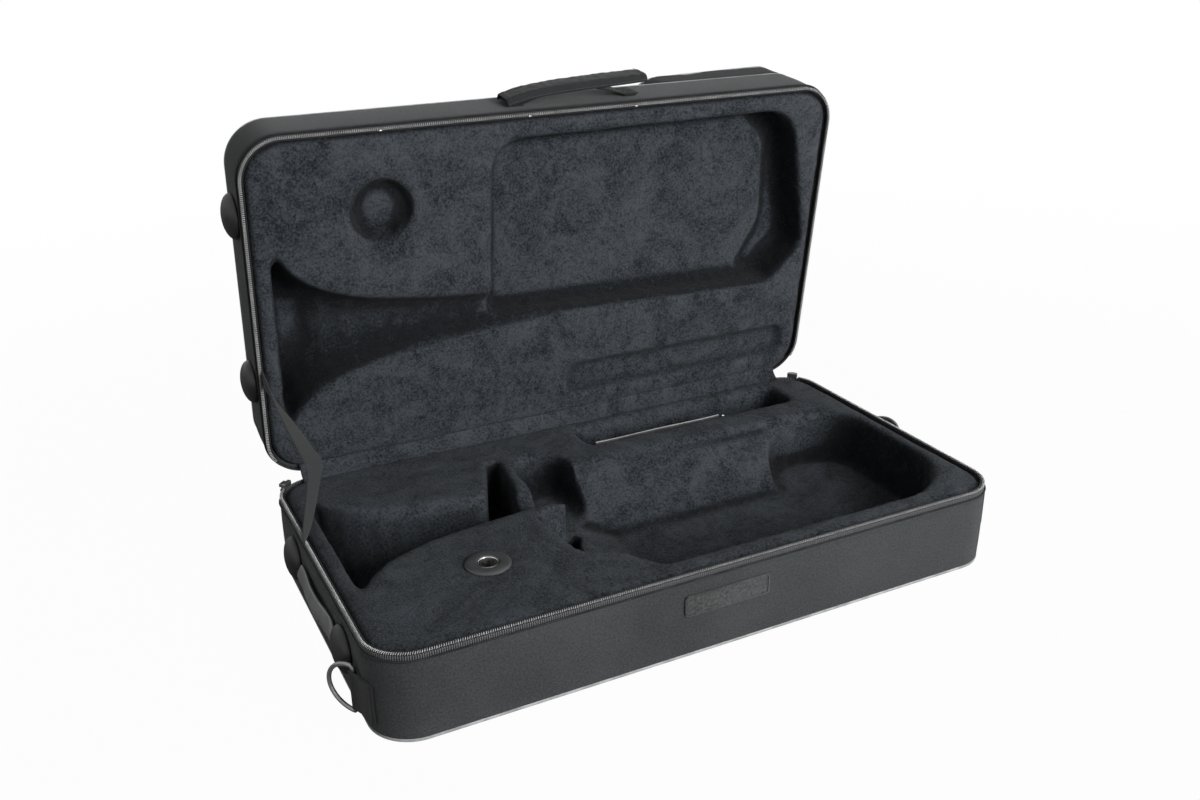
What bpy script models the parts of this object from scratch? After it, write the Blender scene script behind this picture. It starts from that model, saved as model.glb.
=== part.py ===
"""Soft-sided tenor horn case, open, with its moulded plush linings.

Lengths are in metres. The origin is the middle of the base's underside, +X runs along the
case, +Y points to the hinge and +Z up. Lid pieces are modelled on the closed case and then
turned open about the hinge.
"""
import math

import bmesh
import bpy
from mathutils import Matrix, Vector

# Driving dimensions of the case
CASE_LENGTH = 0.650
CASE_DEPTH = 0.356
BASE_HEIGHT = 0.088
LID_HEIGHT = 0.065
CORNER_RADIUS = 0.042
CORNER_STEPS = 8
LID_OPEN_ANGLE = math.radians(82.13)
FIT = 0.0003
OVERRUN = 0.010

# Laminated trays
WALL = 0.005
FLOOR = 0.005
INNER_FILLET = 0.008
WALL_BULGE = 0.0008
BULGE_SHARES = (0.35, 0.65)
RIM_BAND = 0.008
EDGE_STEP = 0.0007
SMOOTH_ANGLE = math.radians(35)
FLAT_ANGLE = math.radians(0.1)

# Piping in the outer edge of each tray
PIPING_RADIUS = 0.002
PIPING_INSET = 0.0026
PIPING_RISE = 0.0032
PIPING_SIDES = 8

# Zip tape and coil round the rim
TAPE_INSET = 0.0010
TAPE_THICKNESS = 0.0012
COIL_RADIUS = 0.0013
COIL_INSET = 0.0022
COIL_SIDES = 6

# Sliders and pulls at the zip's two ends
SLIDER_LENGTH = 0.012
SLIDER_THICKNESS = 0.0045
SLIDER_BEVEL = 0.0007
EAR_REACH = 0.0036
EAR_WIDTH = 0.0014
EAR_HEIGHT = 0.0034
PIN_RADIUS = 0.0008
PIN_CLEARANCE = 0.0004
KNUCKLE_WALL = 0.0008
KNUCKLE_LENGTH = 0.0050
PULL_LENGTH = 0.024
PULL_WIDTH = 0.008
PULL_THICKNESS = 0.0014
PULL_BEVEL = 0.0004
ROUND_STEPS = 16

# Moulded linings
LINING_DROP = 0.002
LINING_BORDER = 0.006
RIM_ROUND = 0.005
FLOOR_ROUND = 0.006
OUTLINE_STEPS = 4
FILLET_LIMIT_SHARE = 0.49
WELL_FOAM = 0.0040
HORN_STATIONS = 12
HORN_SECTION_STEPS = 12
BELL_RADIUS = 0.099
BELL_LENGTH_SCALE = 0.032
BELL_FLARE_POWER = 0.79
BELL_WALL_SHARE = -0.9275
HORN_AXIS_SHARE = 0.163
BASE_HORN_END_SHARE = -0.190
LID_HORN_END_SHARE = -0.012

# Corners of each recess, as shares of the case's half length and half depth, with radii
BODY_SHARES = ((-0.320, -0.528), (-0.234, -0.556), (-0.142, -0.826),
               (0.935, -0.826), (0.935, 0.360), (-0.092, 0.416))
BODY_RADII = (0.008, 0.014, 0.014, 0.078, 0.045, 0.014)
BODY_FOAM = 0.0227
BODY_SLOPE_FOOT_SHARE = 0.056
BODY_SLOPE_HEAD_SHARE = 0.440
BODY_RISE_FOOT_SHARE = -0.050
BODY_RISE_HEAD_SHARE = -0.300
BODY_RISE = 0.030
BODY_END_SHARES = ((0.430, -0.826), (0.935, -0.826), (0.935, 0.360), (0.620, 0.372))
BODY_END_RADII = (0.060, 0.078, 0.045, 0.040)
BOWL_SHARES = ((-0.281, 0.006), (-0.108, 0.006), (-0.108, 0.628), (-0.281, 0.628))
BOWL_RADII = (0.022, 0.022, 0.026, 0.026)
BOWL_FOAM = 0.0370
NOTCH_SHARES = ((-0.468, 0.078), (-0.351, 0.078), (-0.305, 0.668), (-0.345, 0.668))
NOTCH_RADII = (0.005, 0.005, 0.005, 0.005)
NOTCH_FOAM = 0.0197
TRIANGLE_SHARES = ((-0.322, -0.528), (-0.184, 0.022), (-0.345, -0.062))
TRIANGLE_RADII = (0.003, 0.003, 0.003)
TRIANGLE_FOAM = 0.0197
SLOT_SHARES = ((0.018, 0.607), (0.831, 0.607), (0.831, 0.860), (0.018, 0.860))
SLOT_RADII = (0.008, 0.008, 0.008, 0.008)
SLOT_FOAM = 0.0357
SMALL_ROUND = 0.0025
LID_BODY_SHARES = ((-0.240, -0.843), (0.842, -0.855), (0.952, 0.045), (0.825, 0.281), (-0.240, 0.214))
LID_BODY_RADII = (0.030, 0.040, 0.028, 0.014, 0.008)
LID_BODY_FOAM = 0.0247
LID_GROOVE_SHARES = ((0.700, -0.830), (0.838, -0.826), (0.940, 0.045), (0.818, 0.258),
                     (0.735, 0.225), (0.830, -0.096), (0.808, -0.629))
LID_GROOVE_RADII = (0.004, 0.036, 0.026, 0.010, 0.008, 0.030, 0.018)
LID_GROOVE_FOAM = 0.0165
LID_RELIEF_SHARES = ((0.034, 0.635), (0.923, 0.635), (0.923, 0.837), (0.034, 0.837))
LID_RELIEF_RADII = (0.014, 0.014, 0.014, 0.014)
LID_RELIEF_DEPTH = 0.007
CAP_RECESS_RADIUS = 0.029
CAP_RECESS_DEPTH = 0.014
CAP_RECESS_PLACE_SHARES = (-0.594, -0.539)

# Mouthpiece socket
FLANGE_RADIUS = 0.0195
FLANGE_TOP_RADIUS = 0.0165
FLANGE_HEIGHT = 0.0026
SLEEVE_RADIUS = 0.0098
SLEEVE_WALL = 0.0010
SLEEVE_DEPTH = 0.030
SLEEVE_LIP = 0.0004
SOCKET_PLACE_SHARES = (-0.578, -0.427)
SOCKET_STEPS = 32

# Retaining strip in the accessory slot
STRIP_LENGTH = 0.158
STRIP_WIDTH = 0.014
STRIP_THICKNESS = 0.0018
STRIP_START = 0.003
STRIP_STEPS = 12
STRIP_BOW = 0.0035
STRIP_LEAN_SHARE = 0.2
HOOK_WIRE = 0.0009
HOOK_LENGTH = 0.010
HOOK_LAP = 0.006
HOOK_RADIUS = 0.0028
HOOK_TURN = math.radians(200)
HOOK_Z_SHARE = 0.3

# Bare label patch
LABEL_LENGTH = 0.089
LABEL_HEIGHT = 0.021
LABEL_THICKNESS = 0.0012
LABEL_Z_SHARE = 0.63
LABEL_BEVEL = 0.0004

# Rubber feet on the left end
FOOT_RADIUS = 0.020
FOOT_HEIGHT = 0.012
FOOT_FLAT_RADIUS = 0.010
FOOT_STEPS = 24
FOOT_CROWN_STEPS = 4
BASE_FOOT_REAR_Y_SHARE = 0.449
FOOT_PAST_RING = 0.035932
LID_FOOT_Y_SHARES = (0.438, -0.545)
BASE_FOOT_Z_SHARE = 0.57
LID_FOOT_Z_SHARE = 0.51

# Side handles and their rivets
SIDE_HANDLE_GAP = 0.0065
SIDE_HANDLE_WIDTH = 0.026
SIDE_HANDLE_THICKNESS = 0.003
SIDE_HANDLE_FOOT = 0.013
SIDE_HANDLE_STEPS = 14
LEFT_HANDLE_ARCH = 0.009
RIGHT_HANDLE_ARCH = 0.017
LEFT_HANDLE_LIFT = 0.002
RIGHT_HANDLE_LIFT = 0.010
LEFT_HANDLE_Z_SHARE = 0.53
RIGHT_HANDLE_Z_SHARE = 0.64
RIGHT_HANDLE_Y_SHARE = 0.100
RIVET_RADIUS = 0.0042
RIVET_HEIGHT = 0.0018
RIVET_STEPS = 16
HEAD_TOP_SHARE = 0.7

# Shoulder strap rings and their webbing tabs
WEBBING = 0.0012
TAB_WIDTH = 0.038
TAB_REACH = 0.018
TAB_LAP = 0.010
TAB_STEPS = 8
TAB_WRAP = math.radians(240)
TAB_TUCK_SHARE = 0.33
RING_WIRE = 0.002
RING_DEPTH = 0.026
RING_PLAY = 0.0004
RING_SPARE = 0.0015
RING_STEPS = 14
RING_BAR_SHARES = (-0.9, -0.45, 0.0, 0.45, 0.9)
RING_REST_ANGLE = math.radians(33)
LEFT_RING_Z_SHARE = 0.38
RIGHT_RING_Z_SHARE = 0.60

# Fabric hinge and stay strap
HINGE_STAND = 0.001
HINGE_THICKNESS = 0.001
HINGE_OVERLAP = 0.024
HINGE_FOLD = 0.004
HINGE_STEPS = 6
STAY_WIDTH = 0.018
STAY_THICKNESS = 0.0011
STAY_BASE_Y_SHARE = 0.258
STAY_LID_Y_SHARE = 0.343
STAY_LEAD = 0.010
STAY_STEPS = 4
STAY_TWIST_SHARES = (0.45, 0.55)
STAY_TURN_SHARES = (0.71, 0.62)
STAY_CREASE = (0.0125, -0.014, 0.088)

# Carrying handle on the lid's front
HANDLE_X_SHARE = 0.054
HANDLE_Z_SHARE = 0.51
HANDLE_SPAN = 0.140
HANDLE_ANCHOR = 0.026
HANDLE_WEBBING_WIDTH = 0.030
HANDLE_RISE = 0.013
HANDLE_STEPS = 14
WRAP_LENGTH = 0.162
WRAP_WIDTH = 0.036
WRAP_THICKNESS = 0.0022
WRAP_HOLLOW = 0.0060
WRAP_STEPS = 14
WRAP_SHOULDER_SHARE = 0.5

# Pocket on the lid's outer face
POCKET_LENGTH = 0.211
POCKET_DEPTH = 0.230
POCKET_HEIGHT = 0.040
POCKET_RADIUS = 0.036
POCKET_WALL = 0.0040
POCKET_FILLET = 0.004
POCKET_RIGHT_MARGIN = 0.0025
POCKET_FRONT_MARGIN = 0.0025
POCKET_TAPER_SHARE = 0.35
POCKET_TAPE_WIDTH = 0.009
POCKET_TAPE_THICKNESS = 0.0008
POCKET_COIL_WIDTH = 0.0026
POCKET_COIL_THICKNESS = 0.0010
POCKET_ZIP_SHARE = 0.48
POCKET_SLIDER_LENGTH = 0.009
POCKET_SLIDER_WIDTH = 0.0068
POCKET_KNUCKLE_LENGTH = 0.0028
POCKET_SLIDER_THICKNESS = 0.0016
POCKET_PULL_LENGTH = 0.018
POCKET_PULL_WIDTH = 0.0055

# Tacks on the lid's zip tape
TACK_RADIUS = 0.0016
TACK_THICKNESS = 0.0008
TACK_X_SHARES = (-0.590, -0.128, 0.235)
TACK_STEPS = 10

# Values worked out from the driving dimensions
HALF_LENGTH = CASE_LENGTH / 2
HALF_DEPTH = CASE_DEPTH / 2
CLOSED_HEIGHT = BASE_HEIGHT + LID_HEIGHT
HINGE_Y = HALF_DEPTH + HINGE_STAND
TAPE_HEIGHT = RIM_BAND - 2 * COIL_RADIUS - 3 * FIT
COIL_DROP = COIL_RADIUS + FIT
TAPE_MIDDLE = TAPE_INSET + TAPE_THICKNESS / 2
RING_AXIS_Y = -HALF_DEPTH + CORNER_RADIUS + TAB_LAP
BASE_FOOT_PLACES = (BASE_FOOT_REAR_Y_SHARE * HALF_DEPTH, RING_AXIS_Y + FOOT_PAST_RING)
FOOT_SPACING = BASE_FOOT_PLACES[0] - BASE_FOOT_PLACES[1]
FOOT_MIDDLE_Y = (BASE_FOOT_PLACES[0] + BASE_FOOT_PLACES[1]) / 2
SIDE_HANDLE_SPAN = FOOT_SPACING - 2 * (FOOT_RADIUS + SIDE_HANDLE_GAP) - SIDE_HANDLE_FOOT


def finish(name, colour, roughness, metallic=0.0):
    """A plain Principled material for one piece."""
    material = bpy.data.materials.new(name)
    material.use_nodes = True
    shader = material.node_tree.nodes["Principled BSDF"]
    shader.inputs["Base Color"].default_value = (*colour, 1.0)
    shader.inputs["Roughness"].default_value = roughness
    shader.inputs["Metallic"].default_value = metallic
    material.diffuse_color = (*colour, 1.0)
    return material


NYLON = ((0.012, 0.014, 0.014), 0.85)
PLUSH = ((0.010, 0.011, 0.013), 0.95)
PIPING = ((0.110, 0.115, 0.120), 0.60)
TAPE = ((0.014, 0.015, 0.016), 0.80)
COIL = ((0.060, 0.062, 0.066), 0.35)
RUBBER = ((0.012, 0.012, 0.013), 0.55)
VINYL = ((0.050, 0.052, 0.055), 0.35)
WEBBING_CLOTH = ((0.030, 0.030, 0.032), 0.80)
NICKEL = ((0.600, 0.590, 0.570), 0.25, 1.0)
FLANGE_PLASTIC = ((0.015, 0.015, 0.016), 0.30)


def as_object(bm, name, look):
    """Turns a closed bmesh into a named object with its own material."""
    bmesh.ops.recalc_face_normals(bm, faces=bm.faces)
    mesh = bpy.data.meshes.new(name)
    bm.to_mesh(mesh)
    bm.free()
    mesh.shade_smooth()
    mesh.set_sharp_from_angle(angle=SMOOTH_ANGLE)
    obj = bpy.data.objects.new(name, mesh)
    obj.data.materials.append(finish(name, *look))
    bpy.context.collection.objects.link(obj)
    return obj


def loft(rings, loop=True, wrap=False):
    """Skins a stack of rings, and caps what neither the loop nor the wrap closes."""
    bm = bmesh.new()
    stack = [[bm.verts.new(point) for point in ring] for ring in rings]
    count = len(stack[0])
    pairs = list(zip(stack, stack[1:]))
    if wrap:
        pairs.append((stack[-1], stack[0]))
    for low, high in pairs:
        for i in range(count if loop else count - 1):
            j = (i + 1) % count
            bm.faces.new((low[i], low[j], high[j], high[i]))
    if loop and not wrap:
        bm.faces.new(stack[0])
        bm.faces.new(stack[-1])
    if wrap and not loop:
        bm.faces.new([ring[0] for ring in stack])
        bm.faces.new([ring[-1] for ring in stack])
    return bm


def triangulated(obj):
    """Splits every face into triangles, because a Boolean takes each face as flat."""
    bm = bmesh.new()
    bm.from_mesh(obj.data)
    bmesh.ops.triangulate(bm, faces=bm.faces)
    bm.to_mesh(obj.data)
    bm.free()


def boolean(target, tools, operation):
    """Applies one Boolean with all the tools and removes them."""
    group = bpy.data.collections.new(operation)
    for obj in (target, *tools):
        triangulated(obj)
    for tool in tools:
        group.objects.link(tool)
    modifier = target.modifiers.new(operation, "BOOLEAN")
    modifier.operation = operation
    modifier.solver = "EXACT"
    modifier.operand_type = "COLLECTION"
    modifier.collection = group
    modifier.use_self = True
    evaluated = target.evaluated_get(bpy.context.evaluated_depsgraph_get())
    mesh = bpy.data.meshes.new_from_object(evaluated)
    target.modifiers.clear()
    target.data = mesh
    for tool in tools:
        bpy.data.objects.remove(tool)
    bpy.data.collections.remove(group)
    bm = bmesh.new()
    bm.from_mesh(target.data)
    bmesh.ops.remove_doubles(bm, verts=bm.verts, dist=FIT / 10)
    bmesh.ops.dissolve_degenerate(bm, edges=bm.edges, dist=FIT / 10)
    bmesh.ops.dissolve_limit(bm, verts=bm.verts, edges=bm.edges, angle_limit=FLAT_ANGLE)
    bmesh.ops.triangulate(bm, faces=bm.faces)
    bm.to_mesh(target.data)
    bm.free()
    target.data.shade_smooth()
    target.data.set_sharp_from_angle(angle=SMOOTH_ANGLE)
    return target


# Outlines

def rounded_rectangle(length, depth, radius, inset, centre=(0.0, 0.0)):
    """Counter-clockwise from the back left corner's back end, with the same points at any inset."""
    reach = radius - inset
    points = []
    for corner, (side, end) in enumerate(((-1, 1), (-1, -1), (1, -1), (1, 1))):
        middle = Vector((centre[0] + side * (length / 2 - radius), centre[1] + end * (depth / 2 - radius)))
        for step in range(CORNER_STEPS + 1):
            angle = math.radians(90) * (corner + 1 + step / CORNER_STEPS)
            points.append(middle + reach * Vector((math.cos(angle), math.sin(angle))))
    return points


def case_outline(inset):
    return rounded_rectangle(CASE_LENGTH, CASE_DEPTH, CORNER_RADIUS, inset)


def filleted(corners, radii):
    """A closed outline through the corners, each rounded by an arc of its own radius."""
    points = []
    count = len(corners)
    for i, corner in enumerate(corners):
        back = (corners[i - 1] - corner).normalized()
        ahead = (corners[(i + 1) % count] - corner).normalized()
        half = back.angle(ahead) / 2
        edge = min((corners[i - 1] - corner).length, (corners[(i + 1) % count] - corner).length)
        reach = min(radii[i] / math.tan(half), edge * FILLET_LIMIT_SHARE)
        centre = corner + (back + ahead).normalized() * (reach / math.cos(half))
        start = corner + back * reach - centre
        turn = start.angle_signed(corner + ahead * reach - centre)
        steps = max(2, round(OUTLINE_STEPS * abs(turn) / math.radians(60)))
        for step in range(steps + 1):
            points.append(centre + Matrix.Rotation(-turn * step / steps, 2) @ start)
    return points


def grown(points, distance):
    """The outline moved outward by a distance, point by point."""
    moved = []
    count = len(points)
    for i, point in enumerate(points):
        ahead = (points[(i + 1) % count] - point).normalized()
        behind = (point - points[i - 1]).normalized()
        normal = Vector((ahead.y + behind.y, -ahead.x - behind.x)).normalized()
        stretch = normal.dot(Vector((ahead.y, -ahead.x)))
        moved.append(point + normal * distance / stretch)
    return moved


def placed(shares):
    """Corners written as shares of the half length and half depth, in metres."""
    return [Vector((x * HALF_LENGTH, y * HALF_DEPTH)) for x, y in shares]


def circle(centre, radius, steps):
    """A counter-clockwise circle of points."""
    turns = [math.tau * step / steps for step in range(steps)]
    return [Vector((centre[0] + radius * math.cos(a), centre[1] + radius * math.sin(a))) for a in turns]


# Trays: a tray is built upright from its outer face, and the lid's is then turned over

def upright(z):
    return z


def overturned(z):
    return CLOSED_HEIGHT - z


def stacked(outline, profile, level):
    """Rings of an outline at the profile's insets and heights."""
    return [[(point.x, point.y, level(z)) for point in outline(inset)] for inset, z in profile]


def rebate(radius, inset, rise):
    """The quarter round that a tray's edge leaves for its piping."""
    reach = radius + FIT
    turns = [math.radians(90) * step / 2 for step in range(3)]
    return [(inset + reach * math.cos(a), rise + reach * math.sin(a)) for a in turns]


def tray_profile(height, wall, floor, fillet, bulge):
    """Inset and height from the middle of the outer face, over the rim, to the inner floor."""
    groove = rebate(PIPING_RADIUS, PIPING_INSET, PIPING_RISE)
    edge = PIPING_INSET + PIPING_RADIUS + FIT + EDGE_STEP
    start = PIPING_RISE + PIPING_RADIUS + FIT + EDGE_STEP
    outside = [(edge, 0.0), *groove, (bulge, start)]
    outside += [(0.0, height * share) for share in BULGE_SHARES]
    outside.append((bulge, height))
    turn = fillet * (1 - math.cos(math.radians(45)))
    inside = [(wall, height), (wall, floor + fillet), (wall + turn, floor + turn), (wall + fillet, floor)]
    return outside + inside


def piping(name, outline, level):
    """A cord swept round the outline in the tray's rebate."""
    turns = [math.tau * side / PIPING_SIDES for side in range(PIPING_SIDES)]
    profile = [(PIPING_INSET + PIPING_RADIUS * math.cos(a), PIPING_RISE + PIPING_RADIUS * math.sin(a))
               for a in turns]
    return as_object(loft(stacked(outline, profile, level), wrap=True), name, PIPING)


def shell(name, height, level):
    """One fabric-covered half of the case."""
    profile = tray_profile(height - RIM_BAND, WALL, FLOOR, INNER_FILLET, WALL_BULGE)
    return as_object(loft(stacked(case_outline, profile, level)), name, NYLON)


def along_zip(rings, skip):
    """The part of each ring that the zip takes, from one back corner round to the other."""
    first = CORNER_STEPS // 2 + skip
    last = 3 * (CORNER_STEPS + 1) + CORNER_STEPS // 2 - skip
    return [ring[first:last + 1] for ring in rings]


def zip_tape(name, height, level):
    """The tape that stands on the wall's top edge."""
    low = height - RIM_BAND + FIT
    high = low + TAPE_HEIGHT
    outer = TAPE_INSET
    inner = TAPE_INSET + TAPE_THICKNESS
    profile = [(outer, low), (outer, high), (inner, high), (inner, low)]
    rings = along_zip(stacked(case_outline, profile, level), -CORNER_STEPS // 2)
    return as_object(loft(rings, loop=False, wrap=True), name, TAPE)


def zip_coil(name, height, level):
    """The coil on the tape's top edge, a plain cord here."""
    turns = [math.tau * (side + 0.5) / COIL_SIDES for side in range(COIL_SIDES)]
    middle = height - COIL_DROP
    profile = [(COIL_INSET + COIL_RADIUS * math.cos(a), middle + COIL_RADIUS * math.sin(a)) for a in turns]
    rings = along_zip(stacked(case_outline, profile, level), 1)
    return as_object(loft(rings, loop=False, wrap=True), name, COIL)


# Moulded linings, built upright on their half's inner floor

def lining_block(name, height):
    """The foam block before its recesses, with a rounded border."""
    fillet = INNER_FILLET
    turn = fillet * (1 - math.cos(math.radians(45)))
    low = FLOOR + FIT
    side = WALL + FIT
    top = height - LINING_DROP
    drop = LINING_BORDER * (1 - math.cos(math.radians(45)))
    profile = [(side + fillet, low), (side + turn, low + turn), (side, low + fillet),
               (side, top - LINING_BORDER), (side + drop, top - drop), (side + LINING_BORDER, top)]
    return as_object(loft(stacked(case_outline, profile, upright)), name, PLUSH)


def pit(name, points, floor, top, rim=RIM_ROUND, foot=FLOOR_ROUND):
    """A recess cutter with a rounded foot and a rim that flares to round the plush over."""
    bend = 1 - math.cos(math.radians(45))
    profile = [(-foot, floor), (-foot * bend, floor + foot * bend), (0.0, floor + foot), (0.0, top - rim),
               (rim * bend, top - rim * bend), (rim + FIT, top + FIT), (rim + FIT, top + OVERRUN)]
    rings = [[(p.x, p.y, z) for p in grown(points, distance)] for distance, z in profile]
    return as_object(loft(rings), name, PLUSH)


def sliced(obj, point, normal):
    """Cuts off what lies beyond a plane and closes the cut."""
    bm = bmesh.new()
    bm.from_mesh(obj.data)
    geometry = bm.verts[:] + bm.edges[:] + bm.faces[:]
    cut = bmesh.ops.bisect_plane(bm, geom=geometry, plane_co=point, plane_no=normal, clear_outer=True)
    edges = [item for item in cut["geom_cut"] if isinstance(item, bmesh.types.BMEdge)]
    bmesh.ops.edgeloop_fill(bm, edges=edges)
    bmesh.ops.recalc_face_normals(bm, faces=bm.faces)
    bm.to_mesh(obj.data)
    bm.free()
    return obj


def bell_radius(distance):
    """The bell's flare: wide at its rim and narrowing along the tube."""
    return BELL_RADIUS * (BELL_LENGTH_SCALE / (BELL_LENGTH_SCALE + distance)) ** BELL_FLARE_POWER


def horn(name, height, end_share):
    """The bell and its tube: half a horn whose axis lies in the split plane."""
    top = height - LINING_DROP
    floor = FLOOR + FIT + WELL_FOAM
    start = BELL_WALL_SHARE * HALF_LENGTH
    length = end_share * HALF_LENGTH - start
    axis = HORN_AXIS_SHARE * HALF_DEPTH
    bend = 1 - math.cos(math.radians(45))
    rings = []
    for station in range(HORN_STATIONS + 1):
        distance = length * (station / HORN_STATIONS) ** 2
        radius = bell_radius(distance)
        skirt = math.asin((LINING_DROP + RIM_ROUND) / radius)
        sweep = math.pi - 2 * skirt
        section = [(radius + RIM_ROUND + FIT, top + OVERRUN), (radius + RIM_ROUND + FIT, top + FIT),
                   (radius + RIM_ROUND * bend, top - RIM_ROUND * bend)]
        for step in range(HORN_SECTION_STEPS + 1):
            angle = skirt + sweep * step / HORN_SECTION_STEPS
            section.append((radius * math.cos(angle), max(floor, height - radius * math.sin(angle))))
        section += [(-across, z) for across, z in reversed(section[:3])]
        rings.append([(start + distance, axis + across, z) for across, z in section])
    return as_object(loft(rings), name, PLUSH)


def base_lining():
    """The base's foam: bell well, notch, bowl, triangle pit, body cavity, slot and socket."""
    top = BASE_HEIGHT - LINING_DROP
    low = FLOOR + FIT
    body = pit("body_cutter", filleted(placed(BODY_SHARES), BODY_RADII), low + BODY_FOAM, top)
    foot = Vector((0.0, BODY_SLOPE_FOOT_SHARE * HALF_DEPTH, low + BODY_FOAM))
    head = Vector((0.0, BODY_SLOPE_HEAD_SHARE * HALF_DEPTH, top))
    run = head - foot
    sliced(body, foot, Vector((0.0, run.z, -run.y)))
    foot = Vector((BODY_RISE_FOOT_SHARE * HALF_LENGTH, 0.0, low + BODY_FOAM))
    head = Vector((BODY_RISE_HEAD_SHARE * HALF_LENGTH, 0.0, low + BODY_FOAM + BODY_RISE))
    run = head - foot
    sliced(body, foot, Vector((-run.z, 0.0, run.x)))
    socket = Vector((SOCKET_PLACE_SHARES[0] * HALF_LENGTH, SOCKET_PLACE_SHARES[1] * HALF_DEPTH))
    bore = circle(socket, SLEEVE_RADIUS + FIT, SOCKET_STEPS)
    bore_rings = [[(p.x, p.y, z) for p in bore] for z in (top - SLEEVE_DEPTH, top + OVERRUN)]
    cutters = [
        horn("horn_cutter", BASE_HEIGHT, BASE_HORN_END_SHARE),
        body,
        pit("body_end_cutter", filleted(placed(BODY_END_SHARES), BODY_END_RADII), low + BODY_FOAM, top),
        pit("bowl_cutter", filleted(placed(BOWL_SHARES), BOWL_RADII), low + BOWL_FOAM, top,
            foot=FLOOR_ROUND * 2),
        pit("notch_cutter", filleted(placed(NOTCH_SHARES), NOTCH_RADII), low + NOTCH_FOAM, top,
            rim=SMALL_ROUND, foot=SMALL_ROUND),
        pit("triangle_cutter", filleted(placed(TRIANGLE_SHARES), TRIANGLE_RADII), low + TRIANGLE_FOAM, top,
            rim=SMALL_ROUND, foot=SMALL_ROUND),
        pit("slot_cutter", filleted(placed(SLOT_SHARES), SLOT_RADII), low + SLOT_FOAM, top),
        as_object(loft(bore_rings), "bore_cutter", PLUSH),
    ]
    return boolean(lining_block("base_lining", BASE_HEIGHT), cutters, "DIFFERENCE")


def lid_lining():
    """The lid's foam: bell well, body recess with its deeper end groove, cap recess and relief."""
    top = LID_HEIGHT - LINING_DROP
    low = FLOOR + FIT
    cap = Vector((CAP_RECESS_PLACE_SHARES[0] * HALF_LENGTH, CAP_RECESS_PLACE_SHARES[1] * HALF_DEPTH))
    cutters = [
        horn("horn_cutter", LID_HEIGHT, LID_HORN_END_SHARE),
        pit("body_cutter", filleted(placed(LID_BODY_SHARES), LID_BODY_RADII), low + LID_BODY_FOAM, top),
        pit("groove_cutter", filleted(placed(LID_GROOVE_SHARES), LID_GROOVE_RADII), low + LID_GROOVE_FOAM,
            low + LID_BODY_FOAM, rim=SMALL_ROUND, foot=SMALL_ROUND),
        pit("relief_cutter", filleted(placed(LID_RELIEF_SHARES), LID_RELIEF_RADII), top - LID_RELIEF_DEPTH,
            top, rim=SMALL_ROUND, foot=SMALL_ROUND),
        pit("cap_cutter", circle(cap, CAP_RECESS_RADIUS, SOCKET_STEPS), top - CAP_RECESS_DEPTH, top),
    ]
    lining = boolean(lining_block("lid_lining", LID_HEIGHT), cutters, "DIFFERENCE")
    lining.data.transform(Matrix.Translation((0.0, 0.0, CLOSED_HEIGHT)) @ Matrix.Scale(-1, 4, (0, 0, 1)))
    lining.data.flip_normals()
    return lining


# Turned pieces

def turned(profile, steps, place):
    """Spins a closed profile of (radius, height) about an axis and places the result."""
    rings = []
    for radius, height in profile:
        rings.append([place @ Vector((p.x, p.y, height)) for p in circle((0.0, 0.0), radius, steps)])
    return rings


def disc(name, profile, steps, place, look):
    """A capped turned piece."""
    return as_object(loft(turned(profile, steps, place)), name, look)


def socket():
    """Bevelled flange and bright sleeve of the mouthpiece socket."""
    top = BASE_HEIGHT - LINING_DROP
    centre = (SOCKET_PLACE_SHARES[0] * HALF_LENGTH, SOCKET_PLACE_SHARES[1] * HALF_DEPTH, top + FIT)
    place = Matrix.Translation(centre)
    hole = SLEEVE_RADIUS + FIT
    lip = FLANGE_HEIGHT / 4
    flange = [(hole, 0.0), (FLANGE_RADIUS, 0.0), (FLANGE_RADIUS, lip),
              (FLANGE_TOP_RADIUS, FLANGE_HEIGHT), (hole, FLANGE_HEIGHT)]
    pieces = [as_object(loft(turned(flange, SOCKET_STEPS, place), wrap=True), "mouthpiece_flange",
                        FLANGE_PLASTIC)]
    inner = SLEEVE_RADIUS - SLEEVE_WALL
    bottom = -SLEEVE_DEPTH
    rim = FLANGE_HEIGHT + SLEEVE_LIP
    sleeve = [(inner, bottom), (SLEEVE_RADIUS, bottom), (SLEEVE_RADIUS, rim - SLEEVE_WALL / 2),
              (SLEEVE_RADIUS - SLEEVE_WALL / 2, rim), (inner, rim - SLEEVE_WALL / 2)]
    pieces.append(as_object(loft(turned(sleeve, SOCKET_STEPS, place), wrap=True), "mouthpiece_sleeve",
                            NICKEL))
    return pieces


def toward(normal):
    """A turn that takes +Z to a wall's outward normal and keeps +Z as the wall's up."""
    out = Vector(normal)
    up = Vector((0.0, 0.0, 1.0))
    side = up.cross(out)
    return Matrix((side, up, out)).transposed().to_4x4()


def foot(name, y, z):
    """A rubber foot on the left end: a flat-topped dome."""
    place = Matrix.Translation((-HALF_LENGTH - FIT, y, z)) @ toward((-1.0, 0.0, 0.0))
    profile = [(FOOT_RADIUS, 0.0)]
    slope = FOOT_RADIUS - FOOT_FLAT_RADIUS
    for step in range(FOOT_CROWN_STEPS + 1):
        angle = math.radians(90) * step / FOOT_CROWN_STEPS
        radius = FOOT_FLAT_RADIUS + slope * math.cos(angle)
        profile.append((radius, FOOT_HEIGHT * (1 + 3 * math.sin(angle)) / 4))
    return disc(name, profile, FOOT_STEPS, place, RUBBER)


# Straps

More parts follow.
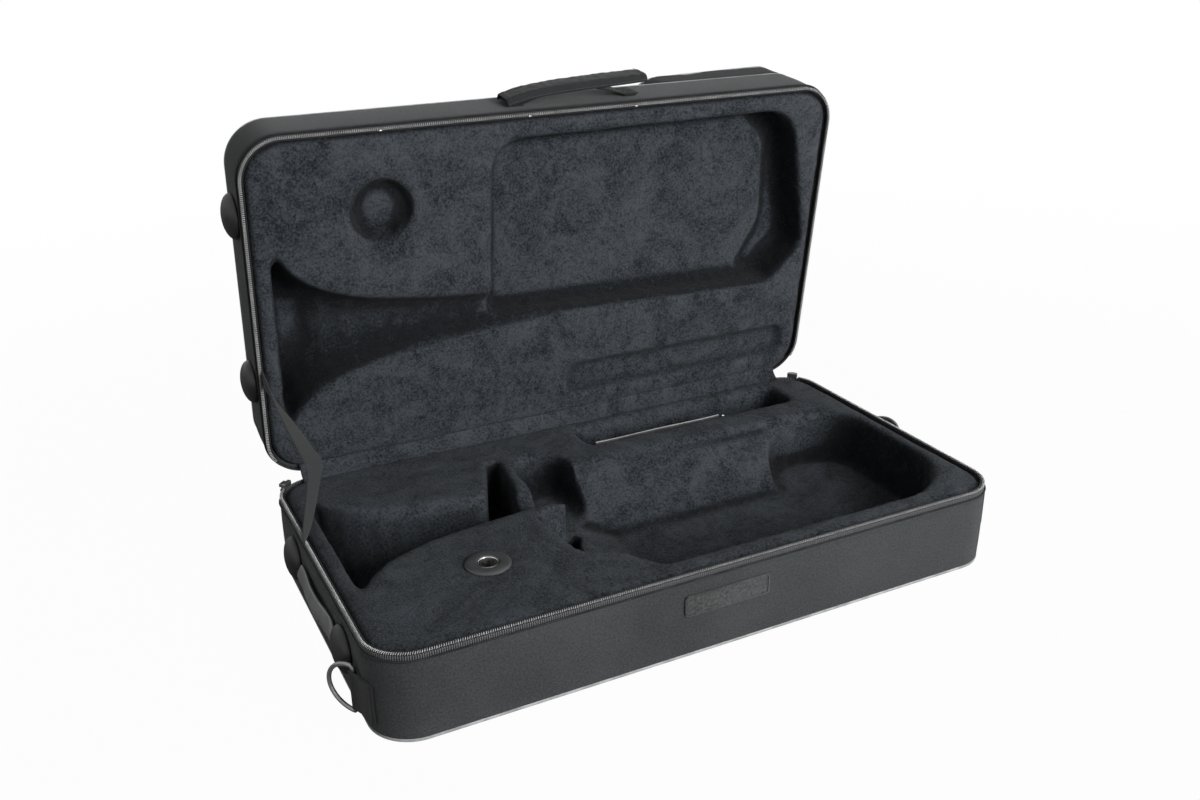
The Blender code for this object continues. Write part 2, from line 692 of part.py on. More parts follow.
def ribbon(name, centres, across, width, thickness, look):
    """A flat strap along its centre points, with the width turned to each across direction."""
    rings = []
    last = len(centres) - 1
    for i, centre in enumerate(centres):
        along = (centres[min(i + 1, last)] - centres[max(i - 1, 0)]).normalized()
        side = (across[i] - along * across[i].dot(along)).normalized()
        out = along.cross(side)
        corners = ((-1, -1), (1, -1), (1, 1), (-1, 1))
        rings.append([centre + side * (a * width / 2) + out * (b * thickness / 2) for a, b in corners])
    return as_object(loft(rings), name, look)


def smooth(values, steps):
    """A cubic B-spline from the first to the last of a list of vectors."""
    padded = [values[0] * 2 - values[1], *values, values[-1] * 2 - values[-2]]
    points = []
    for a, b, c, d in zip(padded, padded[1:], padded[2:], padded[3:]):
        for step in range(steps):
            t = step / steps
            near = 3 * t ** 3 - 6 * t ** 2 + 4
            far = 3 * (1 - t) ** 3 - 6 * (1 - t) ** 2 + 4
            points.append((a * (1 - t) ** 3 + b * near + c * far + d * t ** 3) / 6)
    return points + [values[-1]]


def side_handle(side, name, arch, lift, y, z):
    """An arched strip on an end wall, with a rivet through each flat foot."""
    wall = HALF_LENGTH + FIT + SIDE_HANDLE_THICKNESS / 2
    half = SIDE_HANDLE_SPAN / 2
    centres = [Vector((side * wall, y - half - SIDE_HANDLE_FOOT / 2, z))]
    free = SIDE_HANDLE_SPAN - SIDE_HANDLE_FOOT
    for step in range(SIDE_HANDLE_STEPS + 1):
        t = step / SIDE_HANDLE_STEPS
        rise = (1 - math.cos(math.tau * t)) / 2
        centres.append(Vector((side * (wall + arch * rise), y + free * (t - 0.5), z + lift * rise)))
    centres.append(Vector((side * wall, y + half + SIDE_HANDLE_FOOT / 2, z)))
    across = [Vector((0.0, 0.0, 1.0))] * len(centres)
    pieces = [ribbon(name, centres, across, SIDE_HANDLE_WIDTH, SIDE_HANDLE_THICKNESS, VINYL)]
    top = HALF_LENGTH + FIT + SIDE_HANDLE_THICKNESS + FIT
    profile = [(RIVET_RADIUS, 0.0), (RIVET_RADIUS, RIVET_HEIGHT / 2),
               (RIVET_RADIUS * HEAD_TOP_SHARE, RIVET_HEIGHT)]
    for end, where in ((-1, "front"), (1, "rear")):
        place = Matrix.Translation((side * top, y + end * half, z)) @ toward((side, 0.0, 0.0))
        pieces.append(disc(f"{name}_rivet_{where}", profile, RIVET_STEPS, place, NICKEL))
    return pieces


def ring_axis(side):
    """Distance of the ring's bar from the middle of the case, and its place along the end wall."""
    stand = FIT + WEBBING + RING_PLAY + RING_WIRE
    return Vector((side * (HALF_LENGTH + stand), RING_AXIS_Y, 0.0))


def end_wall_point(side, distance, stand):
    """A point off the end wall, at a distance past the start of the front corner's arc."""
    if distance <= 0:
        return Vector((side * (HALF_LENGTH + stand), -HALF_DEPTH + CORNER_RADIUS - distance, 0.0))
    angle = distance / CORNER_RADIUS
    centre = Vector((side * (HALF_LENGTH - CORNER_RADIUS), -HALF_DEPTH + CORNER_RADIUS, 0.0))
    reach = CORNER_RADIUS + stand
    return centre + Vector((side * reach * math.cos(angle), -reach * math.sin(angle), 0.0))


def ring_tab(side, name, z):
    """Webbing folded round the ring's bar, both layers lying on the end wall."""
    bar = ring_axis(side)
    loop = RING_WIRE + RING_PLAY + WEBBING / 2
    low = FIT + WEBBING / 2
    high = low + WEBBING + FIT
    lie = [TAB_REACH * step / TAB_STEPS for step in range(TAB_STEPS, -1, -1)]
    lie.append(-TAB_LAP * TAB_TUCK_SHARE)
    centres = [end_wall_point(side, distance, low) for distance in lie]
    for step in range(TAB_STEPS + 1):
        angle = TAB_WRAP * step / TAB_STEPS - math.radians(90)
        centres.append(bar + loop * Vector((side * math.sin(angle), math.cos(angle), 0.0)))
    centres += [end_wall_point(side, distance, high) for distance in reversed(lie[:-1])]
    centres = [centre + Vector((0.0, 0.0, z)) for centre in centres]
    across = [Vector((0.0, 0.0, 1.0))] * len(centres)
    return ribbon(name, centres, across, TAB_WIDTH, WEBBING, WEBBING_CLOTH)


def tube(name, path, normal, radius, sides, look, closed=True):
    """A round wire along a flat path."""
    count = len(path)
    rings = []
    for i, point in enumerate(path):
        ahead = path[(i + 1) % count] if closed else path[min(i + 1, count - 1)]
        behind = path[i - 1] if closed else path[max(i - 1, 0)]
        out = (ahead - behind).normalized().cross(normal)
        turns = [math.tau * side / sides for side in range(sides)]
        rings.append([point + radius * (out * math.cos(a) + normal * math.sin(a)) for a in turns])
    return as_object(loft(rings, wrap=closed), name, look)


def ring(side, name, z):
    """A D-ring: a straight bar in the tab and a round bow."""
    bar = ring_axis(side) + Vector((0.0, 0.0, z))
    swing = Vector((side * math.sin(RING_REST_ANGLE), math.cos(RING_REST_ANGLE), 0.0))
    half = TAB_WIDTH / 2 + RING_SPARE + RING_WIRE
    up = Vector((0.0, 0.0, 1.0))
    path = [bar + up * (half * share) for share in RING_BAR_SHARES]
    for step in range(RING_STEPS + 1):
        angle = math.radians(90) - math.pi * step / RING_STEPS
        path.append(bar + up * (half * math.sin(angle)) + swing * (RING_WIRE + RING_DEPTH * math.cos(angle)))
    return tube(name, path, swing.cross(up), RING_WIRE, PIPING_SIDES, NICKEL)


def opened(point):
    """Takes a point of the closed lid to where it lies with the lid open."""
    axis = Vector((0.0, HINGE_Y, BASE_HEIGHT))
    return axis + Matrix.Rotation(-LID_OPEN_ANGLE, 3, "X") @ (point - axis)


def hinge_strip():
    """The fabric hinge: up the base's back wall, round the fold and along the lid's back wall."""
    y = HALF_DEPTH + FIT + HINGE_THICKNESS / 2
    corner = Vector((0.0, y, BASE_HEIGHT))
    lid_end = opened(Vector((0.0, y, BASE_HEIGHT + HINGE_OVERLAP)))
    lid_way = (lid_end - opened(corner)).normalized()
    up = Vector((0.0, 0.0, 1.0))
    radius = HINGE_FOLD / math.tan(LID_OPEN_ANGLE / 2)
    centre = corner - up * HINGE_FOLD + Vector((0.0, radius, 0.0))
    centres = [corner - up * HINGE_OVERLAP, corner - up * (HINGE_FOLD * 2)]
    for step in range(HINGE_STEPS + 1):
        turn = LID_OPEN_ANGLE * step / HINGE_STEPS
        centres.append(centre + radius * Vector((0.0, -math.cos(turn), math.sin(turn))))
    centres += [centres[-1] + lid_way * HINGE_FOLD, lid_end]
    across = [Vector((1.0, 0.0, 0.0))] * len(centres)
    width = CASE_LENGTH - 2 * CORNER_RADIUS
    return ribbon("hinge_strip", centres, across, width, HINGE_THICKNESS, NYLON)


def stay_strap():
    """The webbing stay, slack and creased, between the left rims of base and lid."""
    inset = (TAPE_INSET + TAPE_THICKNESS + WALL + FIT) / 2 + FIT * 2
    x = -HALF_LENGTH + inset
    foot_z = BASE_HEIGHT - RIM_BAND + FIT
    base_y = STAY_BASE_Y_SHARE * HALF_DEPTH
    lid_y = STAY_LID_Y_SHARE * HALF_DEPTH
    head_z = BASE_HEIGHT + RIM_BAND - FIT
    start = Vector((x, base_y, foot_z))
    crease = start + Vector(STAY_CREASE)
    end = opened(Vector((x, lid_y, head_z)))
    end_lead = opened(Vector((x, lid_y, BASE_HEIGHT - STAY_LEAD)))
    up = Vector((0.0, 0.0, 1.0))
    way_up = (end_lead - crease).normalized()
    values = [start, start + up * STAY_LEAD / 2, start + up * STAY_LEAD,
              start.lerp(crease, STAY_TWIST_SHARES[0]), crease - up * STAY_LEAD, crease,
              crease + way_up * STAY_LEAD, crease.lerp(end_lead, STAY_TWIST_SHARES[1]), end_lead,
              (end_lead + end) / 2, end]
    deep = Vector((0.0, 1.0, 0.0))
    wide = Vector((1.0, 0.0, 0.0))
    turned_lid = opened(Vector((x, lid_y + STAY_LEAD, head_z))) - end
    sides = [deep, deep, deep, deep.lerp(wide, STAY_TURN_SHARES[0]), wide, wide, wide,
             turned_lid.normalized().lerp(wide, STAY_TURN_SHARES[1]), turned_lid, turned_lid, turned_lid]
    across = smooth([side.normalized() for side in sides], STAY_STEPS)
    return ribbon("stay_strap", smooth(values, STAY_STEPS), across, STAY_WIDTH, STAY_THICKNESS,
                  WEBBING_CLOTH)


# Zip sliders

def block(size, centre, bevel, name, look):
    """A box with bevelled edges."""
    bm = bmesh.new()
    bmesh.ops.create_cube(bm, size=1.0)
    bmesh.ops.scale(bm, vec=size, verts=bm.verts)
    bmesh.ops.bevel(bm, geom=bm.edges, offset=bevel, segments=1, profile=0.5, affect="EDGES", material=-1)
    bmesh.ops.translate(bm, vec=centre, verts=bm.verts)
    return as_object(bm, name, look)


def rod(name, radius, length, look, inner=0.0):
    """A round bar or a short tube along X about the origin."""
    place = Matrix.Rotation(math.radians(90), 4, "Y") @ Matrix.Translation((0.0, 0.0, -length / 2))
    if inner:
        profile = [(inner, 0.0), (radius, 0.0), (radius, length), (inner, length)]
        return as_object(loft(turned(profile, ROUND_STEPS, place), wrap=True), name, look)
    return disc(name, [(radius, 0.0), (radius, length)], ROUND_STEPS, place, look)


def slider_body(name, length, thickness, height, knuckle):
    """A slider with two ears and a pin, its outer face towards -Y and the pin on the X axis."""
    back = EAR_REACH - PIN_RADIUS
    body = block((length, thickness, height), (0.0, back + thickness / 2, 0.0), SLIDER_BEVEL, name, NICKEL)
    ear_x = knuckle / 2 + PIN_CLEARANCE + EAR_WIDTH / 2
    reach = EAR_REACH + thickness / 2
    tools = []
    for side in (-1, 1):
        centre = (side * ear_x, -PIN_RADIUS + reach / 2 - FIT, 0.0)
        tools.append(block((EAR_WIDTH, reach, EAR_HEIGHT), centre, SLIDER_BEVEL / 4, "ear", NICKEL))
    tools.append(rod("pin", PIN_RADIUS, 2 * ear_x, NICKEL))
    return boolean(body, tools, "UNION")


def pull_tab(name, length, width, knuckle_length):
    """A pull that hangs from the X axis by a rolled knuckle."""
    inner = PIN_RADIUS + PIN_CLEARANCE
    outer = inner + KNUCKLE_WALL
    knuckle = rod(name, outer, knuckle_length, NICKEL, inner)
    drop = length - inner - KNUCKLE_WALL / 2
    centre = (0.0, 0.0, -inner - KNUCKLE_WALL / 2 - drop / 2)
    neck = outer * 2
    plate = block((width, PULL_THICKNESS, length - neck), (0.0, 0.0, -neck - (length - neck) / 2),
                  PULL_BEVEL, "plate", NICKEL)
    stem = block((knuckle_length - KNUCKLE_WALL, PULL_THICKNESS - PULL_BEVEL, drop), centre,
                 PULL_BEVEL / 2, "stem", NICKEL)
    return boolean(knuckle, [stem, plate], "UNION")


def corner_slider(side):
    """A slider and its pull, parked on the base's tape in a back corner."""
    out = Vector((side, 1.0, 0.0)).normalized()
    centre = Vector((side * (HALF_LENGTH - CORNER_RADIUS), HALF_DEPTH - CORNER_RADIUS, BASE_HEIGHT))
    height = 2 * (RIM_BAND - FIT - TAPE_HEIGHT - FIT)
    back = EAR_REACH - PIN_RADIUS
    reach = CORNER_RADIUS - TAPE_MIDDLE + SLIDER_THICKNESS / 2 + back
    pin = centre + out * reach
    along = Vector((0.0, 0.0, 1.0)).cross(out)
    turn = Matrix((along, -out, Vector((0.0, 0.0, 1.0)))).transposed().to_4x4()
    where = "left" if side < 0 else "right"
    slider = slider_body(f"zip_slider_{where}", SLIDER_LENGTH, SLIDER_THICKNESS, height, KNUCKLE_LENGTH)
    pull = pull_tab(f"zip_pull_{where}", PULL_LENGTH, PULL_WIDTH, KNUCKLE_LENGTH)
    for piece in (slider, pull):
        piece.data.transform(turn)
    slider.location = pin
    pull.location = pin
    return slider, pull


# Lid fittings, on the closed case

def handle_rise(distance):
    """How far the handle's webbing stands out, at a distance along X from its middle."""
    share = distance / (HANDLE_SPAN - HANDLE_ANCHOR) + 0.5
    return HANDLE_RISE * math.sin(math.pi * share) if 0 < share < 1 else 0.0


def carry_handle():
    """Sewn anchors, the webbing between them and the soft wrap round it."""
    wall = -HALF_DEPTH
    z = CLOSED_HEIGHT - HANDLE_Z_SHARE * LID_HEIGHT
    x = HANDLE_X_SHARE * HALF_LENGTH
    pieces = []
    for side, where in ((-1, "left"), (1, "right")):
        centre = (x + side * HANDLE_SPAN / 2, wall - FIT - WEBBING / 2, z)
        pieces.append(block((HANDLE_ANCHOR, WEBBING, HANDLE_WEBBING_WIDTH), centre, WEBBING / 4,
                            f"handle_anchor_{where}", WEBBING_CLOTH))
    seat = wall - FIT - WEBBING - FIT - WEBBING / 2
    half = HANDLE_SPAN / 2 + HANDLE_ANCHOR / 2
    free = HANDLE_SPAN - HANDLE_ANCHOR
    places = [-half] + [free * (step / HANDLE_STEPS - 0.5) for step in range(HANDLE_STEPS + 1)] + [half]
    centres = [Vector((x + place, seat - handle_rise(place), z)) for place in places]
    across = [Vector((0.0, 0.0, 1.0))] * len(centres)
    pieces.append(ribbon("handle_webbing", centres, across, HANDLE_WEBBING_WIDTH, WEBBING, WEBBING_CLOTH))
    return pieces, handle_wrap(x, wall - FIT, z)


def handle_wrap(x, ground, z):
    """A padded sheet folded over the webbing, open towards the case."""
    half = WRAP_WIDTH / 2
    top = WRAP_HOLLOW + WRAP_THICKNESS
    shoulder = WRAP_HOLLOW * WRAP_SHOULDER_SHARE
    inside = half - WRAP_THICKNESS
    outer = [(-half, 0.0), (-half, top - shoulder), (-half + shoulder, top)]
    inner = [(inside, 0.0), (inside, WRAP_HOLLOW - shoulder / 2), (inside - shoulder / 2, WRAP_HOLLOW)]
    section = outer + [(-across, out) for across, out in reversed(outer)]
    section += inner + [(-across, out) for across, out in reversed(inner)]
    rings = []
    for step in range(WRAP_STEPS + 1):
        along = WRAP_LENGTH * (step / WRAP_STEPS - 0.5)
        low = ground - handle_rise(along)
        rings.append([(x + along, low - out, z + up) for up, out in section])
    return as_object(loft(rings), "handle_wrap", NYLON)


def pocket_outline(inset):
    centre = (HALF_LENGTH - POCKET_RIGHT_MARGIN - POCKET_LENGTH / 2,
              -HALF_DEPTH + POCKET_FRONT_MARGIN + POCKET_DEPTH / 2)
    return rounded_rectangle(POCKET_LENGTH, POCKET_DEPTH, POCKET_RADIUS, inset, centre)


def pocket_swell(x):
    """The pocket's fullness: all of it at the right end, less towards the left."""
    right = HALF_LENGTH - POCKET_RIGHT_MARGIN
    share = (right - x) / POCKET_LENGTH
    return 1 - POCKET_TAPER_SHARE * share ** 2


def swelled(obj):
    """Scales a pocket piece's height above the lid by the pocket's fullness there."""
    ground = CLOSED_HEIGHT + FIT
    for vertex in obj.data.vertices:
        vertex.co.z = ground + (vertex.co.z - ground) * pocket_swell(vertex.co.x)
    return obj


def pocket_level(z):
    return CLOSED_HEIGHT + FIT + POCKET_HEIGHT - z


def pocket():
    """The zipped pocket: a soft tray that opens onto the lid's outer face, with its own zip."""
    profile = tray_profile(POCKET_HEIGHT, POCKET_WALL, POCKET_WALL + PIPING_RISE, POCKET_FILLET, WALL_BULGE)
    panel = as_object(loft(stacked(pocket_outline, profile, pocket_level)), "pocket_panel", NYLON)
    cord = piping("pocket_piping", pocket_outline, pocket_level)
    pieces = [swelled(panel), swelled(cord)]
    front, back, face, middle = pocket_zip_line()
    tape_x = face + FIT + POCKET_TAPE_THICKNESS / 2
    coil_x = face + FIT + POCKET_TAPE_THICKNESS + FIT + POCKET_COIL_THICKNESS / 2
    across = [Vector((0.0, 0.0, 1.0))] * 2
    for name, x, width, thickness, look in (
            ("pocket_zip_tape", tape_x, POCKET_TAPE_WIDTH, POCKET_TAPE_THICKNESS, TAPE),
            ("pocket_zip_teeth", coil_x, POCKET_COIL_WIDTH, POCKET_COIL_THICKNESS, COIL)):
        centres = [Vector((x, y, middle)) for y in (front, back)]
        pieces.append(ribbon(name, centres, across, width, thickness, look))
    return pieces


def pocket_zip_line():
    """The pocket's zip: its two ends along Y, the face of the right side that it lies on, and its height."""
    front = -HALF_DEPTH + POCKET_FRONT_MARGIN + POCKET_RADIUS
    back = front + POCKET_DEPTH - 2 * POCKET_RADIUS
    face = HALF_LENGTH - POCKET_RIGHT_MARGIN
    return front, back, face, CLOSED_HEIGHT + FIT + POCKET_HEIGHT * POCKET_ZIP_SHARE


def pocket_fastener():
    """The pocket's slider at the front end of its zip, with its pull along the coil."""
    front, _, face, middle = pocket_zip_line()
    top = face + POCKET_TAPE_THICKNESS + POCKET_COIL_THICKNESS + 3 * FIT
    pin = Vector((top + POCKET_SLIDER_THICKNESS + EAR_REACH - PIN_RADIUS,
                  front + POCKET_SLIDER_LENGTH / 2, middle))
    slider = slider_body("pocket_slider", POCKET_SLIDER_WIDTH, POCKET_SLIDER_THICKNESS,
                         POCKET_SLIDER_LENGTH, POCKET_KNUCKLE_LENGTH)
    pull = pull_tab("pocket_pull", POCKET_PULL_LENGTH, POCKET_PULL_WIDTH, POCKET_KNUCKLE_LENGTH)
    turn = Matrix(((0.0, -1.0, 0.0), (0.0, 0.0, -1.0), (1.0, 0.0, 0.0))).to_4x4()
    for piece in (slider, pull):
        piece.data.transform(Matrix.Translation(pin) @ turn)
    return slider, pull, pin


def tape_tacks():
    """Bright tacks on the inner face of the lid's zip tape, along the front."""
    pieces = []
    y = -HALF_DEPTH + TAPE_INSET + TAPE_THICKNESS + FIT
    z = BASE_HEIGHT + RIM_BAND - FIT - TAPE_HEIGHT / 2
    profile = [(TACK_RADIUS, 0.0), (TACK_RADIUS * HEAD_TOP_SHARE, TACK_THICKNESS)]
    for number, share in enumerate(TACK_X_SHARES, 1):
        place = Matrix.Translation((share * HALF_LENGTH, y, z)) @ toward((0.0, 1.0, 0.0))
        pieces.append(disc(f"tape_tack_{number}", profile, TACK_STEPS, place, NICKEL))
    return pieces


def slot_pieces():
    """The bound strip that stands in the slot by its front wall, with a wire hook at its end."""
    left = SLOT_SHARES[0][0] * HALF_LENGTH + RIM_ROUND + STRIP_START
    wall = SLOT_SHARES[0][1] * HALF_DEPTH
    top = BASE_HEIGHT - LINING_DROP
    z = top - RIM_ROUND - STRIP_WIDTH / 2
    y = wall + 2 * FIT + (STRIP_THICKNESS + STRIP_WIDTH * STRIP_LEAN_SHARE) / 2
    centres = []
    for step in range(STRIP_STEPS + 1):
        t = step / STRIP_STEPS
        bow = STRIP_BOW * math.sin(math.pi * t) ** 2
        centres.append(Vector((left + STRIP_LENGTH * t, y + bow, z)))
    across = [Vector((0.0, STRIP_LEAN_SHARE, 1.0))] * len(centres)
    strip = ribbon("slot_strap", centres, across, STRIP_WIDTH, STRIP_THICKNESS, VINYL)
    slant = math.hypot(1.0, STRIP_LEAN_SHARE)
    up = STRIP_WIDTH * HOOK_Z_SHARE
    behind = up * STRIP_LEAN_SHARE + (STRIP_THICKNESS / 2 + FIT + HOOK_WIRE) * slant
    end = centres[-1] + Vector((-HOOK_LAP, behind, up))
    path = [end, end + Vector((HOOK_LAP + HOOK_LENGTH, 0.0, 0.0))]
    centre = path[-1] + Vector((0.0, HOOK_RADIUS, 0.0))
    for step in range(1, TACK_STEPS):
        angle = HOOK_TURN * step / TACK_STEPS
        path.append(centre + HOOK_RADIUS * Vector((math.sin(angle), -math.cos(angle), 0.0)))
    hook = tube("slot_hook", path, Vector((0.0, 0.0, 1.0)), HOOK_WIRE, COIL_SIDES, NICKEL, closed=False)
    return strip, hook


def label_patch():
    """A bare sewn patch on the base's front."""
    y = -HALF_DEPTH - FIT - LABEL_THICKNESS / 2
    size = (LABEL_LENGTH, LABEL_THICKNESS, LABEL_HEIGHT)
    return block(size, (0.0, y, LABEL_Z_SHARE * BASE_HEIGHT), LABEL_BEVEL, "label_patch", VINYL)


def pivot(name, place, parent=None, parent_place=None):
    """An empty on a joint's axis, placed on the closed case under its parent."""
    empty = bpy.data.objects.new(name, None)
    bpy.context.collection.objects.link(empty)
    empty.location = place - parent_place if parent else place
    empty.parent = parent
    return empty


def attach(piece, empty, place):
    """Hangs a piece modelled on the closed case from an empty at a place."""
    piece.data.transform(Matrix.Translation(-place))
    piece.parent = empty


def build_base():
    """All that stays with the base."""
    shell("base_shell", BASE_HEIGHT, upright)
    piping("base_piping", case_outline, upright)
    zip_tape("base_zip_tape", BASE_HEIGHT, upright)
    zip_coil("base_zip_teeth", BASE_HEIGHT, upright)
    base_lining()
    socket()
    slot_pieces()
    label_patch()
    for where, y in zip(("rear", "front"), BASE_FOOT_PLACES):
        foot(f"base_foot_{where}", y, BASE_FOOT_Z_SHARE * BASE_HEIGHT)
    side_handle(-1, "left_side_handle", LEFT_HANDLE_ARCH, LEFT_HANDLE_LIFT,
                FOOT_MIDDLE_Y, LEFT_HANDLE_Z_SHARE * BASE_HEIGHT)
    side_handle(1, "right_side_handle", RIGHT_HANDLE_ARCH, RIGHT_HANDLE_LIFT,
                RIGHT_HANDLE_Y_SHARE * HALF_DEPTH, RIGHT_HANDLE_Z_SHARE * BASE_HEIGHT)
    for side, where, share in ((-1, "left", LEFT_RING_Z_SHARE), (1, "right", RIGHT_RING_Z_SHARE)):
        z = share * BASE_HEIGHT
        ring_tab(side, f"{where}_ring_tab", z)
        bow = ring(side, f"{where}_ring", z)
        axis = ring_axis(side) + Vector((0.0, 0.0, z))
        attach(bow, pivot(f"{where}_ring_axis", axis), axis)
        corner_slider(side)
    hinge_strip()
    stay_strap()


def build_lid():
    """The lid and what it carries, hung from the hinge and turned open."""
    axis = Vector((0.0, HINGE_Y, BASE_HEIGHT))
    hinge = pivot("lid_axis", axis)
    pieces = [shell("lid_shell", LID_HEIGHT, overturned), piping("lid_piping", case_outline, overturned),
              zip_tape("lid_zip_tape", LID_HEIGHT, overturned),
              zip_coil("lid_zip_teeth", LID_HEIGHT, overturned), lid_lining()]
    for where, share in zip(("rear", "front"), LID_FOOT_Y_SHARES):
        z = CLOSED_HEIGHT - LID_FOOT_Z_SHARE * LID_HEIGHT
        pieces.append(foot(f"lid_foot_{where}", share * HALF_DEPTH, z))
    pieces += pocket() + tape_tacks()
    fittings, wrap = carry_handle()
    for piece in pieces + fittings:
        attach(piece, hinge, axis)
    handle_place = Vector((HANDLE_X_SHARE * HALF_LENGTH, -HALF_DEPTH,
                           CLOSED_HEIGHT - HANDLE_Z_SHARE * LID_HEIGHT))
    attach(wrap, pivot("handle_axis", handle_place, hinge, axis), handle_place)
    slider, pull, pin = pocket_fastener()
    slide = pivot("pocket_slider_axis", pin, hinge, axis)
    attach(slider, slide, pin)
    attach(pull, pivot("pocket_pull_axis", pin, slide, pin), pin)
    hinge.rotation_euler.x = -LID_OPEN_ANGLE


for old in list(bpy.data.objects):
    bpy.data.objects.remove(old)
build_base()
build_lid()
print("objects", sum(1 for obj in bpy.data.objects if obj.type == "MESH"))
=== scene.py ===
# %% [markdown]
# # A soft-sided tenor horn case, standing open
# The case is two fabric-covered foam trays joined by a fabric hinge along the back. A coil
# zip runs round the other three sides. Both halves are filled with moulded foam under grey
# plush, with hollows for the bell, the valves and the mouthpiece.
#
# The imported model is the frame: it gives every size and place, and its joints give the
# bodies that pieces ride on. Here each soft piece gets its real form and each surface its
# finish. Lid pieces are made as on the closed case, where their sizes are easy to read, and
# are then turned open about the hinge.

# %% Load the frame
import math

import bmesh
import bpy
from mathutils import Matrix, Vector, noise


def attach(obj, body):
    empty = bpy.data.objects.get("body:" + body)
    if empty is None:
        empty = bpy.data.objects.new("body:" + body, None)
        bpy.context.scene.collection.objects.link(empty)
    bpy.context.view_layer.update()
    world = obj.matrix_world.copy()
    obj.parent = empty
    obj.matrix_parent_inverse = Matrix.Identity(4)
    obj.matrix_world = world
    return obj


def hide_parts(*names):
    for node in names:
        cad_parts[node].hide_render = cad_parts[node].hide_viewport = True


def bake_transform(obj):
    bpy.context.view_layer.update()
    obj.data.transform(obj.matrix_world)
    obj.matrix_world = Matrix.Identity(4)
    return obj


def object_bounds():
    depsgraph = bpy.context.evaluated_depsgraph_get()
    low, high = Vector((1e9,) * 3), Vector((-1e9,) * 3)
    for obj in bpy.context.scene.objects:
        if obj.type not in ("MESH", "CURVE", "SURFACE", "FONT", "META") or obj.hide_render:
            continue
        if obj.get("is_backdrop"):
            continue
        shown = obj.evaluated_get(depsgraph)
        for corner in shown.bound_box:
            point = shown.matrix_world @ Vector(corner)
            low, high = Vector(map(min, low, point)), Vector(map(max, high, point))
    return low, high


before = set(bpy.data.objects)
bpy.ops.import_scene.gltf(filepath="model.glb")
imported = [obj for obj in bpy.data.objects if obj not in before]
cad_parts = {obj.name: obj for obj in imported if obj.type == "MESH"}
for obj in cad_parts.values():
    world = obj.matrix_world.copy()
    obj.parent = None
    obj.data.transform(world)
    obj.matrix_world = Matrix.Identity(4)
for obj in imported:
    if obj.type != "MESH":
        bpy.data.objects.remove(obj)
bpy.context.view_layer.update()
scene = bpy.context.scene

# %% [markdown]
# ## The camera
# The view is given by a place, a direction and a roll. The three axes of the camera are
# built from the direction by cross products, which is easier to check than three angles.

# %% Place the camera
CAMERA_PLACE = Vector((-0.5035, -0.9380, 0.6271))
CAMERA_AZIMUTH = math.radians(-26.493)
CAMERA_ELEVATION = math.radians(22.820)
CAMERA_ROLL = math.radians(-0.888)
CAMERA_LENS = 35.34
CAMERA_SENSOR = 36.0


def axes_of_view(azimuth, elevation, roll):
    """Right, up and back of a camera that looks along a direction and leans by a roll."""
    back = Vector((math.sin(azimuth) * math.cos(elevation),
                   -math.cos(azimuth) * math.cos(elevation), math.sin(elevation)))
    right = Vector((0.0, 0.0, 1.0)).cross(back).normalized()
    up = back.cross(right)
    turn = Matrix.Rotation(roll, 3, back)
    return turn @ right, turn @ up, back


camera_data = bpy.data.cameras.new("camera")
camera_data.lens = CAMERA_LENS
camera_data.sensor_width = CAMERA_SENSOR
camera_data.clip_start = 0.02
camera_data.clip_end = 30.0
camera = bpy.data.objects.new("camera", camera_data)
scene.collection.objects.link(camera)
view_axes = Matrix(axes_of_view(CAMERA_AZIMUTH, CAMERA_ELEVATION, CAMERA_ROLL)).transposed()
camera.matrix_world = Matrix.Translation(CAMERA_PLACE) @ view_axes.to_4x4()
scene.camera = camera
print("camera right", [round(value, 4) for value in view_axes.col[0]])

# %% [markdown]
# ## Sizes
# The frame's own sizes, in metres. A piece is given the numbers of the solid that it stands
# for, so that it lies where the solid does. Many places are shares of the case's sizes. A few
# soft or moulded pieces have a width or a height of their own, set beside the photograph.

# %% Sizes of the case
HALF_LENGTH = 0.325
HALF_DEPTH = 0.178
CORNER_RADIUS = 0.042
BASE_HEIGHT = 0.088
LID_HEIGHT = 0.065
CLOSED_HEIGHT = BASE_HEIGHT + LID_HEIGHT
RIM_BAND = 0.008
WALL = 0.005
FIT = 0.0003
HINGE = Vector((0.0, HALF_DEPTH + 0.001, BASE_HEIGHT))
LID_ANGLE = math.radians(82.13)
LID_TURN = (Matrix.Translation(HINGE) @ Matrix.Rotation(-LID_ANGLE, 4, "X")
            @ Matrix.Translation(-HINGE))
OVERTURN = Matrix.Translation((0.0, 0.0, CLOSED_HEIGHT)) @ Matrix.Diagonal((1, 1, -1, 1))
RIGHT, BACK, UP = Vector((1.0, 0.0, 0.0)), Vector((0.0, 1.0, 0.0)), Vector((0.0, 0.0, 1.0))

# %% [markdown]
# ## Shader maths as arithmetic
# A node tree is hard to read as a list of nodes and links. This small class wraps a socket,
# so that `mask * 0.4 + 0.6` adds its own Math nodes. Its method `node` makes every other
# kind of node from its type, its settings and what its sockets take.

